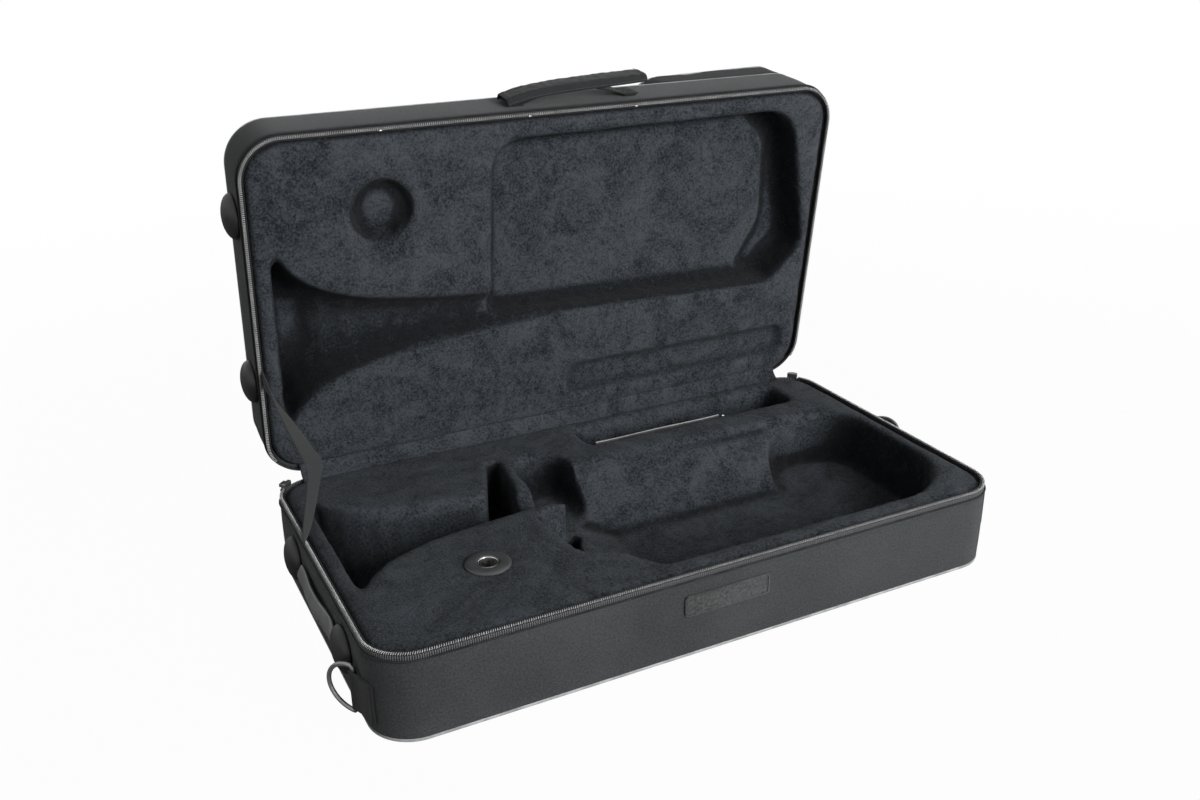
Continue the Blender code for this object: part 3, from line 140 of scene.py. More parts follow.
# %% Wire, a socket that can be summed
class Wire:
    """A socket of a material's node tree. Sums on it add Math nodes."""

    def __init__(self, tree, socket=None):
        self.tree = tree
        self.socket = socket

    def node(self, kind, settings, sockets, output=0):
        """Adds a node, sets it up, fills its sockets and hands back one of its outputs."""
        made = self.tree.nodes.new(kind)
        for name, value in settings.items():
            setattr(made, name, value)
        for name, value in sockets.items():
            if isinstance(value, Wire):
                self.tree.links.new(value.socket, made.inputs[name])
            else:
                made.inputs[name].default_value = value
        return Wire(self.tree, made.outputs[output])

    def other(self, output):
        """Another output of the node that this wire comes from."""
        return Wire(self.tree, self.socket.node.outputs[output])

    def maths(self, operation, *values):
        return self.node("ShaderNodeMath", {"operation": operation}, dict(enumerate(values)))

    def __add__(self, other):
        return self.maths("ADD", self, other)

    def __sub__(self, other):
        return self.maths("SUBTRACT", self, other)

    def __mul__(self, other):
        return self.maths("MULTIPLY", self, other)

    def sine(self):
        return self.maths("SINE", self)

    def between(self, low, high):
        """0 below the low value, 1 above the high one and smooth between."""
        return self.node("ShaderNodeMapRange", {"interpolation_type": "SMOOTHSTEP"},
                         {"Value": self, "From Min": low, "From Max": high})

    def mix(self, first, second):
        """Blends two colours by this wire. Each is a wire or three numbers."""
        first, second = (side if isinstance(side, Wire) else (*side, 1.0)
                         for side in (first, second))
        return self.node("ShaderNodeMix", {"data_type": "RGBA"}, {0: self, 6: first, 7: second}, 2)


# %% [markdown]
# ## A finish and its surface
# Every finish starts the same way: a Principled shader with its fixed values set on its own
# sockets. What varies over the surface is then linked in by `surface`: a colour, a height
# for the bump and perhaps a roughness.

# %% Start and close a finish
def finish(name, **fixed):
    """A new material with fixed values on its shader, and a wire to build its nodes from."""
    material = bpy.data.materials.new(name)
    material.use_nodes = True
    shader = material.node_tree.nodes["Principled BSDF"]
    for socket, value in fixed.items():
        shader.inputs[socket.replace("_", " ")].default_value = value
    return material, Wire(material.node_tree)


def surface(material, colour, height, depth, roughness=None):
    """Links a finish's colour, bump and roughness to its shader."""
    tree = material.node_tree
    shader = tree.nodes["Principled BSDF"]
    tree.links.new(colour.socket, shader.inputs["Base Color"])
    bump = height.node("ShaderNodeBump", {}, {"Height": height, "Distance": depth})
    tree.links.new(bump.socket, shader.inputs["Normal"])
    if roughness:
        tree.links.new(roughness.socket, shader.inputs["Roughness"])
    return material


def toned(colour, share):
    """A colour made lighter or darker."""
    return tuple(value * share for value in colour)


def noise_on(wire, where, scale, detail=2.0, roughness=0.5, distortion=0.0):
    """Blender's noise texture on a set of coordinates, as a value from 0 to 1."""
    return wire.node("ShaderNodeTexNoise", {}, {"Vector": where, "Scale": scale, "Detail": detail,
                                                "Roughness": roughness, "Distortion": distortion})


def object_place(wire):
    """Where a point lies in the object, in metres."""
    return wire.node("ShaderNodeTexCoord", {}, {}, 3)


def cloth_place(wire):
    """The piece's own UV map, in metres along and across the cloth."""
    uv = wire.node("ShaderNodeUVMap", {"uv_map": "cloth"}, {})
    along = uv.node("ShaderNodeSeparateXYZ", {}, {0: uv}, 0)
    return uv, along, along.other(1)


# %% [markdown]
# ## Woven nylon
# The outer cloth is a plain canvas weave. Two sine waves multiplied give its chequer of
# warp over weft, and noise gives uneven yarns and the faint clouding of worn nylon. The
# pattern follows the UV map, so it turns round the corners as the sewn cloth does.

# %% Nylon
def woven(name, colour, pitch, depth, roughness, sheen=0.18, cloud=0.24):
    """A plain weave of one pitch, with uneven yarns and soft clouding."""
    material, wire = finish(name, Roughness=roughness, Sheen_Weight=sheen, Sheen_Roughness=0.45,
                            Specular_IOR_Level=0.25)
    uv, along, across = cloth_place(wire)
    turns = math.tau / (2 * pitch)
    weave = (along * turns).sine() * (across * turns).sine()
    yarn = noise_on(wire, uv, 0.3 / pitch, 3.0, 0.8)
    clouds = noise_on(wire, object_place(wire), 9.0, 4.0, 0.6)
    tone = clouds * 0.7 + yarn * 1.4 + weave * 0.2
    dark, light = toned(colour, 1 - 2.0 * cloud), toned(colour, 1 + 2.2 * cloud)
    shade = tone.between(0.65, 1.45).mix(dark, light)
    return surface(material, shade, weave * 0.6 + yarn, depth)


nylon = woven("nylon", (0.054, 0.0585, 0.0605), 0.00065, 0.00016, 0.82)
pocket_nylon = woven("pocket nylon", (0.013, 0.0145, 0.016), 0.00065, 0.00016, 0.82, 0.05)
label_cloth = woven("label", (0.078, 0.080, 0.082), 0.0009, 0.0005, 0.60, cloud=0.45)

# %% [markdown]
# ## Plush
# The lining is a short pile that lies in all directions where hands and the horn have
# brushed it. Light and dark patches with swirled edges show that nap: a distorted noise
# mixes two greys. A finer noise gives the tufts of the pile. Shade is painted into the
# colour in the plush's folds and on its walls that face sideways, so each lining carries
# its painted shade as an attribute.

# %% Plush
def plush_finish(name, dark, light):
    """Brushed pile with swirled nap patches, and painted shade in folds and on side walls."""
    material, wire = finish(name, Roughness=0.95, Sheen_Weight=0.05, Sheen_Roughness=0.6,
                            Specular_IOR_Level=0.08)
    place = object_place(wire)
    nap_and_painted_shade = noise_on(wire, place, 11.0, 5.0, 0.60, 2.4)
    swirl = noise_on(wire, place, 60.0, 4.0, 0.65, 2.2)
    tuft = noise_on(wire, place, 430.0, 3.0, 0.75)
    fold = wire.node("ShaderNodeAttribute", {"attribute_name": "fold"}, {}, 2)
    tone = nap_and_painted_shade * 1.0 + swirl * 0.7 + tuft * 1.5
    shade = tone.between(1.14, 1.96).mix(dark, light)
    # Painted shade: where the fold attribute is high, blotches of it turn the colour to a darker
    # grey.
    painted_fold_shade = (fold * (swirl * 2.4 + nap_and_painted_shade * 2.4 - 1.5)).between(0.0, 0.75) * 0.82
    shade = painted_fold_shade.mix(shade, toned(dark, 0.45))
    return surface(material, shade, tuft * 0.9 + swirl * 0.8 + nap_and_painted_shade * 0.4, 0.0011)


plush = plush_finish("plush", (0.011, 0.0135, 0.0165), (0.088, 0.099, 0.113))

# %% [markdown]
# ## Cord, coil, webbing, vinyl, rubber, metal
# The piping is a cord covered with grey cloth cut on the bias, so its threads run slantwise
# round it. The others are plain stuffs whose finish is in their gloss and fine grain.

# %% The other finishes
BIAS_RIBS = 4200.0


def ribbed_tape(name, dark, light, pitch):
    """Zip tape, where the loops that hold the coil show as ribs."""
    material, wire = finish(name, Roughness=0.45)
    uv, along, _ = cloth_place(wire)
    ribs = (along * (math.tau / pitch)).sine()
    yarn = noise_on(wire, uv, 0.7 / pitch, 2.0)
    shade = (ribs * 0.5 + yarn * 0.5).between(-0.1, 0.6).mix(dark, light)
    return surface(material, shade, ribs, 0.0004)


def cord_finish(name, colour):
    """Bias-cut cloth round a cord: fine ribs that slant round it."""
    material, wire = finish(name, Roughness=0.65, Sheen_Weight=0.2)
    _, along, across = cloth_place(wire)
    ribs = (along * BIAS_RIBS + across * BIAS_RIBS).sine()
    soil = noise_on(wire, object_place(wire), 55.0, 4.0, 0.6)
    shade = (soil * 1.1 + ribs * 0.10).between(0.35, 0.75).mix(toned(colour, 0.55), colour)
    return surface(material, shade, ribs * 0.5 + soil, 0.0002)


def webbing_finish(name, colour, rib):
    """Heavy ribbed webbing: ribs across it and a fine thread along it."""
    material, wire = finish(name, Roughness=0.7, Sheen_Weight=0.1, Specular_IOR_Level=0.25)
    uv, along, across = cloth_place(wire)
    ribs = (along * (math.tau / rib)).sine()
    threads = (across * (math.tau / rib * 1.7)).sine()
    yarn = noise_on(wire, uv, 1.5 / rib, 3.0)
    shade = (ribs * 0.2 + threads * 0.15 + yarn).between(0.2, 0.85).mix(toned(colour, 0.5), colour)
    return surface(material, shade, ribs * 0.5 + threads * 0.35 + yarn * 0.5, 0.0003)


def moulded(name, colour, roughness, grain, depth, metallic=0.0, coat=0.0, wear=0.35):
    """Moulded or cast stuff: an even colour, fine grain and gloss that varies with handling."""
    material, wire = finish(name, Metallic=metallic, Coat_Weight=coat, Coat_Roughness=0.25)
    place = object_place(wire)
    skin = noise_on(wire, place, grain, 3.0, 0.6)
    handled = noise_on(wire, place, 45.0, 4.0, 0.6)
    shade = handled.between(0.3, 0.7).mix(toned(colour, 1 - wear), colour)
    gloss = handled.between(0.25, 0.75) * (roughness * 0.4) + roughness * 0.8
    return surface(material, shade, skin, depth, gloss)


piping_cloth = cord_finish("piping", (0.66, 0.67, 0.68))
coil = moulded("zip coil", (0.80, 0.805, 0.81), 0.30, 900.0, 0.00003)
# The lid's coil is a lighter copy of the base's: painted light, where the lid's half faces the
# lamp.
lit_lid_coil = moulded("lid zip coil", (0.86, 0.865, 0.87), 0.30, 900.0, 0.00003)
tape_cloth = ribbed_tape("zip tape", (0.035, 0.037, 0.039), (0.19, 0.195, 0.20), 0.0020)
lid_tape = ribbed_tape("lid zip tape", (0.030, 0.032, 0.034), (0.085, 0.088, 0.092), 0.0020)
webbing = webbing_finish("webbing", (0.070, 0.072, 0.075), 0.0016)
# A darker copy of the webbing, for the carrying handle and its anchors: painted shade under the
# wrap.
shaded_webbing = webbing_finish("dark webbing", (0.018, 0.019, 0.020), 0.0016)
wrap_cloth = woven("handle wrap", (0.020, 0.022, 0.023), 0.0006, 0.00014, 0.7, 0.08)
band_vinyl = moulded("band vinyl", (0.085, 0.088, 0.090), 0.40, 1100.0, 0.00012)
# The vinyl's light grey is painted reflection: it stands in for the light that the glossy grips
# catch.
vinyl = moulded("vinyl", (0.38, 0.385, 0.39), 0.32, 1100.0, 0.00012, coat=0.25)
rubber = moulded("rubber", (0.018, 0.018, 0.019), 0.50, 1400.0, 0.00008)
nickel = moulded("nickel", (0.55, 0.55, 0.54), 0.27, 500.0, 0.00001, metallic=1.0, wear=0.2)
# A darker nickel for the main zip's sliders and pulls.
dark_nickel = moulded("dark nickel", (0.22, 0.22, 0.22), 0.35, 500.0, 0.00001, metallic=0.9)
ring_steel = moulded("ring steel", (0.36, 0.36, 0.36), 0.42, 500.0, 0.00002, metallic=0.7)
flange_plastic = moulded("flange plastic", (0.085, 0.087, 0.089), 0.45, 600.0, 0.00002)
# Dark thread for the label's stitches; the same stuff makes the painted shadow cords by the zip and
# at the tab's end.
dark_thread_and_shadow = moulded("dark thread", (0.010, 0.010, 0.011), 0.8, 2500.0, 0.00010)
thread = moulded("thread", (0.085, 0.088, 0.092), 0.6, 2500.0, 0.00010)
print("finishes", len(bpy.data.materials))

# %% [markdown]
# ## From a mesh to a piece
# Pieces of the lid and its handle are built as on the closed case and are turned open here,
# in one place, unless `closed` says otherwise.

# %% Make a piece
SMOOTH_ANGLE = math.radians(38)


def laid_out(bm, unrolled):
    """A UV map in metres, from where each face's corners lie."""
    layer = bm.loops.layers.uv.new("cloth")
    for face in bm.faces:
        for loop in face.loops:
            loop[layer].uv = unrolled(loop.vert.co)


def piece(bm, name, body, stuff, slot, *nodes, closed=None):
    """Turns a bmesh into a piece that rides on a body and stands for its CAD nodes."""
    if closed is None:
        closed = body in ("lid", "carry_handle")
    if closed:
        bmesh.ops.transform(bm, matrix=LID_TURN, verts=bm.verts)
    mesh = bpy.data.meshes.new(name)
    bm.to_mesh(mesh)
    bm.free()
    mesh.shade_smooth()
    mesh.set_sharp_from_angle(angle=SMOOTH_ANGLE)
    obj = bpy.data.objects.new(name, mesh)
    scene.collection.objects.link(obj)
    mesh.materials.append(stuff)
    if body:
        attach(obj, body)
    if nodes:
        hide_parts(*nodes)
    return obj


def settled(obj):
    """Applies a piece's modifiers, so that its mesh is final."""
    graph = bpy.context.evaluated_depsgraph_get()
    mesh = bpy.data.meshes.new_from_object(obj.evaluated_get(graph))
    obj.modifiers.clear()
    obj.data = mesh
    return obj


def thickened(obj, thickness, offset=0.0, edge=0.0, segments=2):
    """Gives a sheet its thickness and, if asked, a rounded edge."""
    wall = obj.modifiers.new("thickness", "SOLIDIFY")
    wall.thickness = thickness
    wall.offset = offset
    if edge:
        soft = obj.modifiers.new("edge", "BEVEL")
        soft.width = edge
        soft.segments = segments
        soft.limit_method = "ANGLE"
        soft.angle_limit = math.radians(50)
    return settled(obj)


# %% [markdown]
# ## The outline of a tray
# Both halves and the pocket are rounded rectangles, and much follows their edge: piping,
# tape, coil, stitches and the weave. This class turns a distance along the edge into a place
# and an outward direction, and a place back into a distance.

# %% Outline
class Outline:
    """A rounded rectangle. Distances run rightwards from the middle of its front edge."""

    def __init__(self, half_length, half_depth, radius, centre=(0.0, 0.0)):
        self.run_x = half_length - radius
        self.run_y = half_depth - radius
        self.radius = radius
        self.centre = Vector((*centre, 0.0))
        self.arc = radius * math.pi / 2
        self.quarter = self.run_x + self.arc + self.run_y

    def at(self, distance, inset=0.0):
        """The place and outward direction at a distance along the edge."""
        quarter, along = divmod(distance % (4 * self.quarter), self.quarter)
        t = self.quarter - along if quarter % 2 else along
        angle = min(max((t - self.run_x) / self.radius, 0.0), math.pi / 2)
        out = Vector((math.sin(angle), math.cos(angle), 0.0))
        over = max(t - self.run_x - self.arc, 0.0)
        place = Vector((min(t, self.run_x), self.run_y - over, 0.0)) + out * (self.radius - inset)
        side = Vector((1 if quarter < 2 else -1, 1 if quarter in (1, 2) else -1, 1))
        return self.centre + place * side, out * side

    def around(self, point):
        """The distance along the edge of the place nearest to a point."""
        x, y = point[0] - self.centre.x, point[1] - self.centre.y
        over_x, over_y = abs(x) - self.run_x, abs(y) - self.run_y
        if over_x > 0 and over_y > 0:
            t = self.run_x + self.radius * math.atan2(over_x, over_y)
        else:
            t = self.quarter - abs(y) if over_x > over_y else abs(x)
        return (t if y < 0 else 2 * self.quarter - t) if x >= 0 else \
            (4 * self.quarter - t if y < 0 else 2 * self.quarter + t)


case = Outline(HALF_LENGTH, HALF_DEPTH, CORNER_RADIUS)
print("round the case", round(4 * case.quarter, 3), "m")

# %% [markdown]
# The weave is laid along the walls by that distance and up them by height. The top and the
# bottom of a tray are laid out as seen from above.

# %% The weave's map
FLAT = 0.7


def cloth_map(bm, outline):
    """A UV map in metres: along the edge and up on walls, and from above on flat faces."""
    bm.normal_update()
    layer = bm.loops.layers.uv.new("cloth")
    lap = 4 * outline.quarter
    for face in bm.faces:
        middle = outline.around(face.calc_center_median())
        for loop in face.loops:
            place = loop.vert.co
            if abs(face.normal.z) > FLAT:
                loop[layer].uv = (place.x, place.y)
            else:
                along = outline.around(place)
                along -= lap * round((along - middle) / lap)
                loop[layer].uv = (along, place.z)


# %% [markdown]
# ## The two trays
# Each half is laminated board and foam under nylon, so its walls are straight but not quite
# flat: they swell a little between the edges and ripple where the cloth is glued. A cube
# with its upright edges bevelled gives the rounded box. Its open face is removed, its outer
# edge is cut back where the piping sits, and cuts across it give the points that the ripple
# moves.

# %% Trays
PIPING_INSET = 0.0026
PIPING_RISE = 0.0032
PIPING_RADIUS = 0.002
PIPING_CUT = 0.0052
WALL_SWELL = 0.0008
RIPPLE = 0.0005
CUT_GAP = 0.018
LEVEL_GAP = 0.010


def bevelled(bm, edges, width, segments):
    """Bevels edges by one width."""
    bmesh.ops.bevel(bm, geom=edges, offset=width, segments=segments, profile=0.5,
                    affect="EDGES", material=-1)


def sliced(bm, place, normal):
    """Cuts the whole mesh along a plane."""
    bmesh.ops.bisect_plane(bm, geom=bm.verts[:] + bm.edges[:] + bm.faces[:],
                           plane_co=place, plane_no=normal)


def turned_over(bm, mirror):
    """Mirrors a mesh and keeps its faces outward."""
    bmesh.ops.transform(bm, matrix=mirror, verts=bm.verts)
    bmesh.ops.reverse_faces(bm, faces=bm.faces)


def tray(outline, height, cut):
    """An open tray, its outer face down on z = 0, with a chamfer for its piping."""
    bm = bmesh.new()
    size = Matrix.Diagonal((2 * (outline.run_x + outline.radius),
                            2 * (outline.run_y + outline.radius), height, 1.0))
    bmesh.ops.create_cube(bm, size=1.0, matrix=Matrix.Translation(UP * height / 2) @ size)
    uprights = [edge for edge in bm.edges
                if abs(edge.verts[0].co.z - edge.verts[1].co.z) > height / 2]
    bevelled(bm, uprights, outline.radius, 20)
    bm.normal_update()
    mouth = [face for face in bm.faces if face.normal.z > 0.9]
    bmesh.ops.delete(bm, geom=mouth, context="FACES_ONLY")
    foot = [edge for edge in bm.edges if all(vert.co.z < FIT for vert in edge.verts)]
    bevelled(bm, foot, cut, 1)
    for way, half in ((RIGHT, outline.run_x), (BACK, outline.run_y)):
        steps = round(2 * half / CUT_GAP)
        for step in range(1, steps):
            sliced(bm, way * (half * (2 * step / steps - 1)), way)
    levels = max(4, round(height / LEVEL_GAP))
    for step in range(1, levels):
        sliced(bm, UP * (cut + (height - cut) * step / levels), UP)
    return bm


def rippled(bm, outline, height, cut):
    """Swells the walls between their edges and ripples the cloth."""
    for vert in bm.verts:
        if vert.co.z < cut * 0.9:
            vert.co.z += RIPPLE * 0.4 * noise.noise(vert.co * 22.0) if vert.co.z > FIT else 0.0
            continue
        _, out = outline.at(outline.around(vert.co))
        share = math.sin(math.pi * min(max((vert.co.z - cut) / (height - cut), 0.0), 1.0))
        stir = noise.noise(vert.co * 17.0) * 0.7 + noise.noise(vert.co * 45.0) * 0.3
        vert.co += out * (WALL_SWELL * (share - 1) + RIPPLE * share * stir)
    return bm


for half, height in (("base", BASE_HEIGHT - RIM_BAND), ("lid", LID_HEIGHT - RIM_BAND)):
    bm = rippled(tray(case, height, PIPING_CUT), case, height, PIPING_CUT)
    cloth_map(bm, case)
    if half == "lid":
        turned_over(bm, OVERTURN)
    fabric = piece(bm, half + "_shell_cloth", half, nylon, "nylon", half + "_shell")
    thickened(fabric, WALL, offset=-1.0)
    print(fabric.name, "polygons", len(fabric.data.polygons))

# %% [markdown]
# ## Cords round the outline
# A cord is drawn as a curve with a round bevel, because a curve keeps its section the same
# round every corner. It is then made a mesh, and given a UV map from where its points lie:
# along the edge, and round the cord.

# %% Piping
STRAIGHT_STEP = 0.006
CORNER_STEP = 0.0022


def outline_points(outline, inset, level, start=0.0, end=None):
    """Places along the edge, closer together on the corners."""
    places = []
    distance = start
    end = 4 * outline.quarter if end is None else end
    while distance < end - FIT:
        place, out = outline.at(distance, inset)
        places.append(place + UP * level)
        straight = abs(out.x) < 1e-6 or abs(out.y) < 1e-6
        distance += STRAIGHT_STEP if straight else CORNER_STEP
    return places + [outline.at(end, inset)[0] + UP * level]


def tube(points, radius, closed=False, sides=2):
    """A round tube along points, as a bmesh."""
    curve = bpy.data.curves.new("tube", "CURVE")
    curve.dimensions = "3D"
    curve.bevel_depth = radius
    curve.bevel_resolution = sides
    curve.use_fill_caps = not closed
    spline = curve.splines.new("POLY")
    spline.points.add(len(points) - 1)
    for slot, point in zip(spline.points, points):
        slot.co = (*point, 1.0)
    spline.use_cyclic_u = closed
    holder = bpy.data.objects.new("tube", curve)
    scene.collection.objects.link(holder)
    graph = bpy.context.evaluated_depsgraph_get()
    mesh = bpy.data.meshes.new_from_object(holder.evaluated_get(graph))
    bm = bmesh.new()
    bm.from_mesh(mesh)
    for layer in list(bm.loops.layers.uv.values()):
        bm.loops.layers.uv.remove(layer)
    bpy.data.objects.remove(holder)
    bpy.data.curves.remove(curve)
    bpy.data.meshes.remove(mesh)
    bmesh.ops.remove_doubles(bm, verts=bm.verts, dist=1e-6)
    bmesh.ops.recalc_face_normals(bm, faces=bm.faces)
    return bm


def cord_map(bm, outline, inset, level, radius):
    """A UV map in metres: along the edge, and round the cord."""
    layer = bm.loops.layers.uv.new("cloth")
    lap = 4 * outline.quarter

    def unrolled(point):
        distance = outline.around(point)
        middle, out = outline.at(distance, inset)
        away = Vector(point) - middle - UP * level
        return distance, math.atan2(away.z, away.dot(out))

    for face in bm.faces:
        middle, turn = unrolled(face.calc_center_median())
        for loop in face.loops:
            along, angle = unrolled(loop.vert.co)
            along -= lap * round((along - middle) / lap)
            angle -= math.tau * round((angle - turn) / math.tau)
            loop[layer].uv = (along, angle * radius)


for half in ("base", "lid"):
    points = outline_points(case, PIPING_INSET, PIPING_RISE)
    bm = tube(points[:-1], PIPING_RADIUS, closed=True, sides=3)
    cord_map(bm, case, PIPING_INSET, PIPING_RISE, PIPING_RADIUS)
    if half == "lid":
        turned_over(bm, OVERTURN)
    piece(bm, half + "_piping_cord", half, piping_cloth, "piping", half + "_piping")
print("piping done")

# %% [markdown]
# ## Straps
# Tape, webbing and handles are all flat strips that follow a path. A grid is the strip laid
# out flat: its own coordinates give the UV map, and then each cross row is carried to its
# place on the path. Thickness and a soft edge come last.

# %% Strap
def strip(path, across, width, cells=2):
    """A flat strip carried along a path, with a UV map in metres."""
    last = len(path) - 1
    across = across if isinstance(across, list) else [across] * len(path)
    reach = [0.0]
    for here, there in zip(path, path[1:]):
        reach.append(reach[-1] + (there - here).length)
    bm = bmesh.new()
    bmesh.ops.create_grid(bm, x_segments=last, y_segments=cells, size=0.5)
    laid_out(bm, lambda place: (reach[round((place.x + 0.5) * last)], place.y * width))
    for vert in bm.verts:
        row = round((vert.co.x + 0.5) * last)
        vert.co = path[row] + across[row].normalized() * (vert.co.y * width)
    return bm


def strap(name, body, stuff, slot, path, across, width, thickness, *nodes,
          cells=2, edge=0.0003, closed=None):
    """A strip with its thickness and a soft edge, as a piece."""
    flat = piece(strip(path, across, width, cells), name, body, stuff, slot, *nodes, closed=closed)
    return thickened(flat, thickness, edge=edge)


# %% [markdown]
# ## The zip: tape and coil
# The tape stands on each tray's wall and carries the coil at its edge. The coil of a case
# zip is one nylon wire wound at 2 mm a turn, wider than it is high. It is modelled as that,
# a flattened helix along the edge, with few points a turn because it has over six hundred.
# A dark filler cord runs inside it. Two more dark cords are painted shadow: in the gap
# between the tape and the wall's edge, and between the coil and the plush.

# %% Zip tape and coil
TAPE_MIDDLE = 0.0016
TAPE_THICKNESS = 0.0012
TAPE_LOW = BASE_HEIGHT - RIM_BAND + FIT
TAPE_HIGH = 0.0848
COIL_INSET = 0.0023
COIL_RADIUS = 0.0013
COIL_SPREAD = 0.0016
COIL_WIRE = 0.00038
COIL_PITCH = 0.0020
COIL_STEPS = 8
SEAM_SHADOW_CORD = 0.0009
INNER_CORD = 0.0008
zip_start = 2 * case.quarter + case.run_x
zip_end = 6 * case.quarter - case.run_x
coil_trim = case.arc * 5 / 8


def round_the_front(inset, level, trim=0.0):
    """Places from the back left corner, round the front, to the back right corner."""
    return outline_points(case, inset, level, zip_start + trim, zip_end - trim)


for half, side, tape_stuff, coil_stuff in (("base", -1, tape_cloth, coil),
                                           ("lid", 1, lid_tape, lit_lid_coil)):
    middle = BASE_HEIGHT + side * (BASE_HEIGHT - (TAPE_LOW + TAPE_HIGH) / 2)
    coil_level = BASE_HEIGHT + side * (COIL_RADIUS + FIT)
    strap(half + "_tape_cloth", half, tape_stuff, "tape", round_the_front(TAPE_MIDDLE, middle), UP,
          TAPE_HIGH - TAPE_LOW, TAPE_THICKNESS, half + "_zip_tape")
    begin, finish_at = zip_start + coil_trim, zip_end - coil_trim
    turns = round((finish_at - begin) / COIL_PITCH)
    reach = COIL_RADIUS - COIL_WIRE
    helix = []
    for step in range(turns * COIL_STEPS + 1):
        place, out = case.at(begin + (finish_at - begin) * step / (turns * COIL_STEPS), COIL_INSET)
        angle = math.tau * step / COIL_STEPS
        helix.append(place + UP * (coil_level + reach * math.sin(angle))
                     + out * (COIL_SPREAD - COIL_WIRE) * math.cos(angle))
    piece(tube(helix, COIL_WIRE, sides=0), half + "_coil", half, coil_stuff, "coil",
          half + "_zip_teeth")
    print(half, "coil turns", turns)
    seam_level = BASE_HEIGHT + side * (BASE_HEIGHT - TAPE_LOW + FIT)
    # The seam and edge cords are painted shadow; the filler is the coil's own cord.
    for part, inset, level, radius, trim in (
            ("seam", 0.0002, seam_level, SEAM_SHADOW_CORD, 0.0),
            ("edge", 0.0046, coil_level, INNER_CORD, coil_trim),
            ("filler", COIL_INSET, coil_level, INNER_CORD, coil_trim)):
        bm = tube(round_the_front(inset, level, trim), radius, sides=1)
        piece(bm, half + "_" + part + "_cord", half, dark_thread_and_shadow, "tape")

# %% [markdown]
# Three small metal clips are pinched over the inner edge of the lid's tape. Their rounded
# ends catch the light between the coil and the plush.

# %% Tape clips
CLIP_SIZE = (0.0034, 0.0018, 0.0068, 1.0)
for number, share in enumerate((-0.590, -0.128, 0.235), 1):
    bm = bmesh.new()
    place = Matrix.Translation((share * HALF_LENGTH, -HALF_DEPTH + 0.0040, BASE_HEIGHT + 0.0042))
    bmesh.ops.create_cube(bm, size=1.0, matrix=place @ Matrix.Diagonal(CLIP_SIZE))
    bevelled(bm, bm.edges[:], 0.0005, 2)
    piece(bm, f"tape_clip_{number}", "lid", nickel, "nickel", f"tape_tack_{number}")
print("tape clips", number)

# %% [markdown]
# ## Stitches
# A row of stitches is what tells the eye that an edge is sewn. Each stitch is a small
# rounded grain with few faces, laid along its seam and sunk a little into the cloth.

# %% Stitches
STITCH_GAP = 0.0031
RIM_SEAM = RIM_BAND + 0.0022


def stitch_row(bm, places, long=0.0023, thick=0.0007, high=0.0006):
    """Adds a grain at each place: a point, the way it lies and the way it faces."""
    for point, along, out in places:
        along = along.normalized()
        side = out.cross(along).normalized()
        turn = Matrix((along, side, side.cross(along) * -1)).transposed().to_4x4()
        size = Matrix.Diagonal((long / 2, thick / 2, high / 2, 1.0))
        bmesh.ops.create_icosphere(bm, subdivisions=1, radius=1.0,
                                   matrix=Matrix.Translation(point) @ turn @ size)


def seam(bm, start, end, out, gap=STITCH_GAP, size=()):
    """Adds the stitches of a straight seam."""
    way = end - start
    count = max(1, int(way.length / gap))
    places = [start + way * ((step + 0.5) / count) for step in range(count)]
    stitch_row(bm, [(place, way, out) for place in places], *size)


def one_in_each(bm, row, out, long=0.0023):
    """Adds one stitch between every two places of a row."""
    for here, there in zip(row, row[1:]):
        stitch_row(bm, [((here + there) / 2, there - here, out)], long)


for half, level in (("base", BASE_HEIGHT - RIM_SEAM), ("lid", BASE_HEIGHT + RIM_SEAM)):
    bm = bmesh.new()
    row = [case.at(zip_start + STITCH_GAP * step, WALL_SWELL)
           for step in range(int((zip_end - zip_start) / STITCH_GAP))]
    stitch_row(bm, [(place + UP * level, UP.cross(out), out) for place, out in row])
    piece(bm, half + "_rim_stitches", half, thread, "nylon")
print("rim stitches done")

# %% [markdown]
# ## Moulded linings
# The foam blocks are pressed to shape and covered with plush, so every hollow has a soft
# rounded lip and a rounded foot. The frame's lining has the right hollows with faceted
# edges. A copy of it is merged, remeshed to small even squares and smoothed, which rounds
# every edge the way stretched plush does. Then the surface is stirred along its normals:
# slow swells for the foam, short puckers where the plush is pulled into a corner.

# Shade is painted into the plush in its folds and on walls that face sideways.
# %% Linings
LINING_VOXEL = 0.0028
LINING_SMOOTHING = 8
LINING_SWELL = 0.0011
PUCKER = 0.0009
CRUMPLE = 0.0020
FOLD_SPREAD = 5
FOLD_GAIN = 2.8
# Walls get painted shade once they face a shaded way past this share; the lid's shallow slot gets a
# share of it.
WALL_SHADE_START = 0.25
SHALLOW_START = 0.56
SLOT_SHADE_SHARE = 0.45


def folds(bm):
    """How folded the surface is at each point: 0 on flats and lips, 1 deep in a crease."""
    values = [max(0.0, -sum(edge.calc_face_angle_signed(0.0) for edge in vert.link_edges))
              for vert in bm.verts]
    for _ in range(FOLD_SPREAD):
        values = [(values[vert.index]
                   + sum(values[edge.other_vert(vert).index] for edge in vert.link_edges))
                  / (1 + len(vert.link_edges)) for vert in bm.verts]
    return [min(1.0, FOLD_GAIN * value) for value in values]


def painted_wall_shade(normal, shaded_ways):
    """Painted shade on a wall: more where it faces along one of the shaded ways."""
    return max(0.0, math.hypot(*(normal.dot(way) for way in shaded_ways)) - WALL_SHADE_START)


def in_shallow_slot(place):
    """Whether a place lies in the lid's shallow slot, where the painted shade is weaker."""
    closed = LID_TURN.inverted() @ place
    return closed.x > 0 and closed.y > SHALLOW_START * HALF_DEPTH and closed.z > BASE_HEIGHT


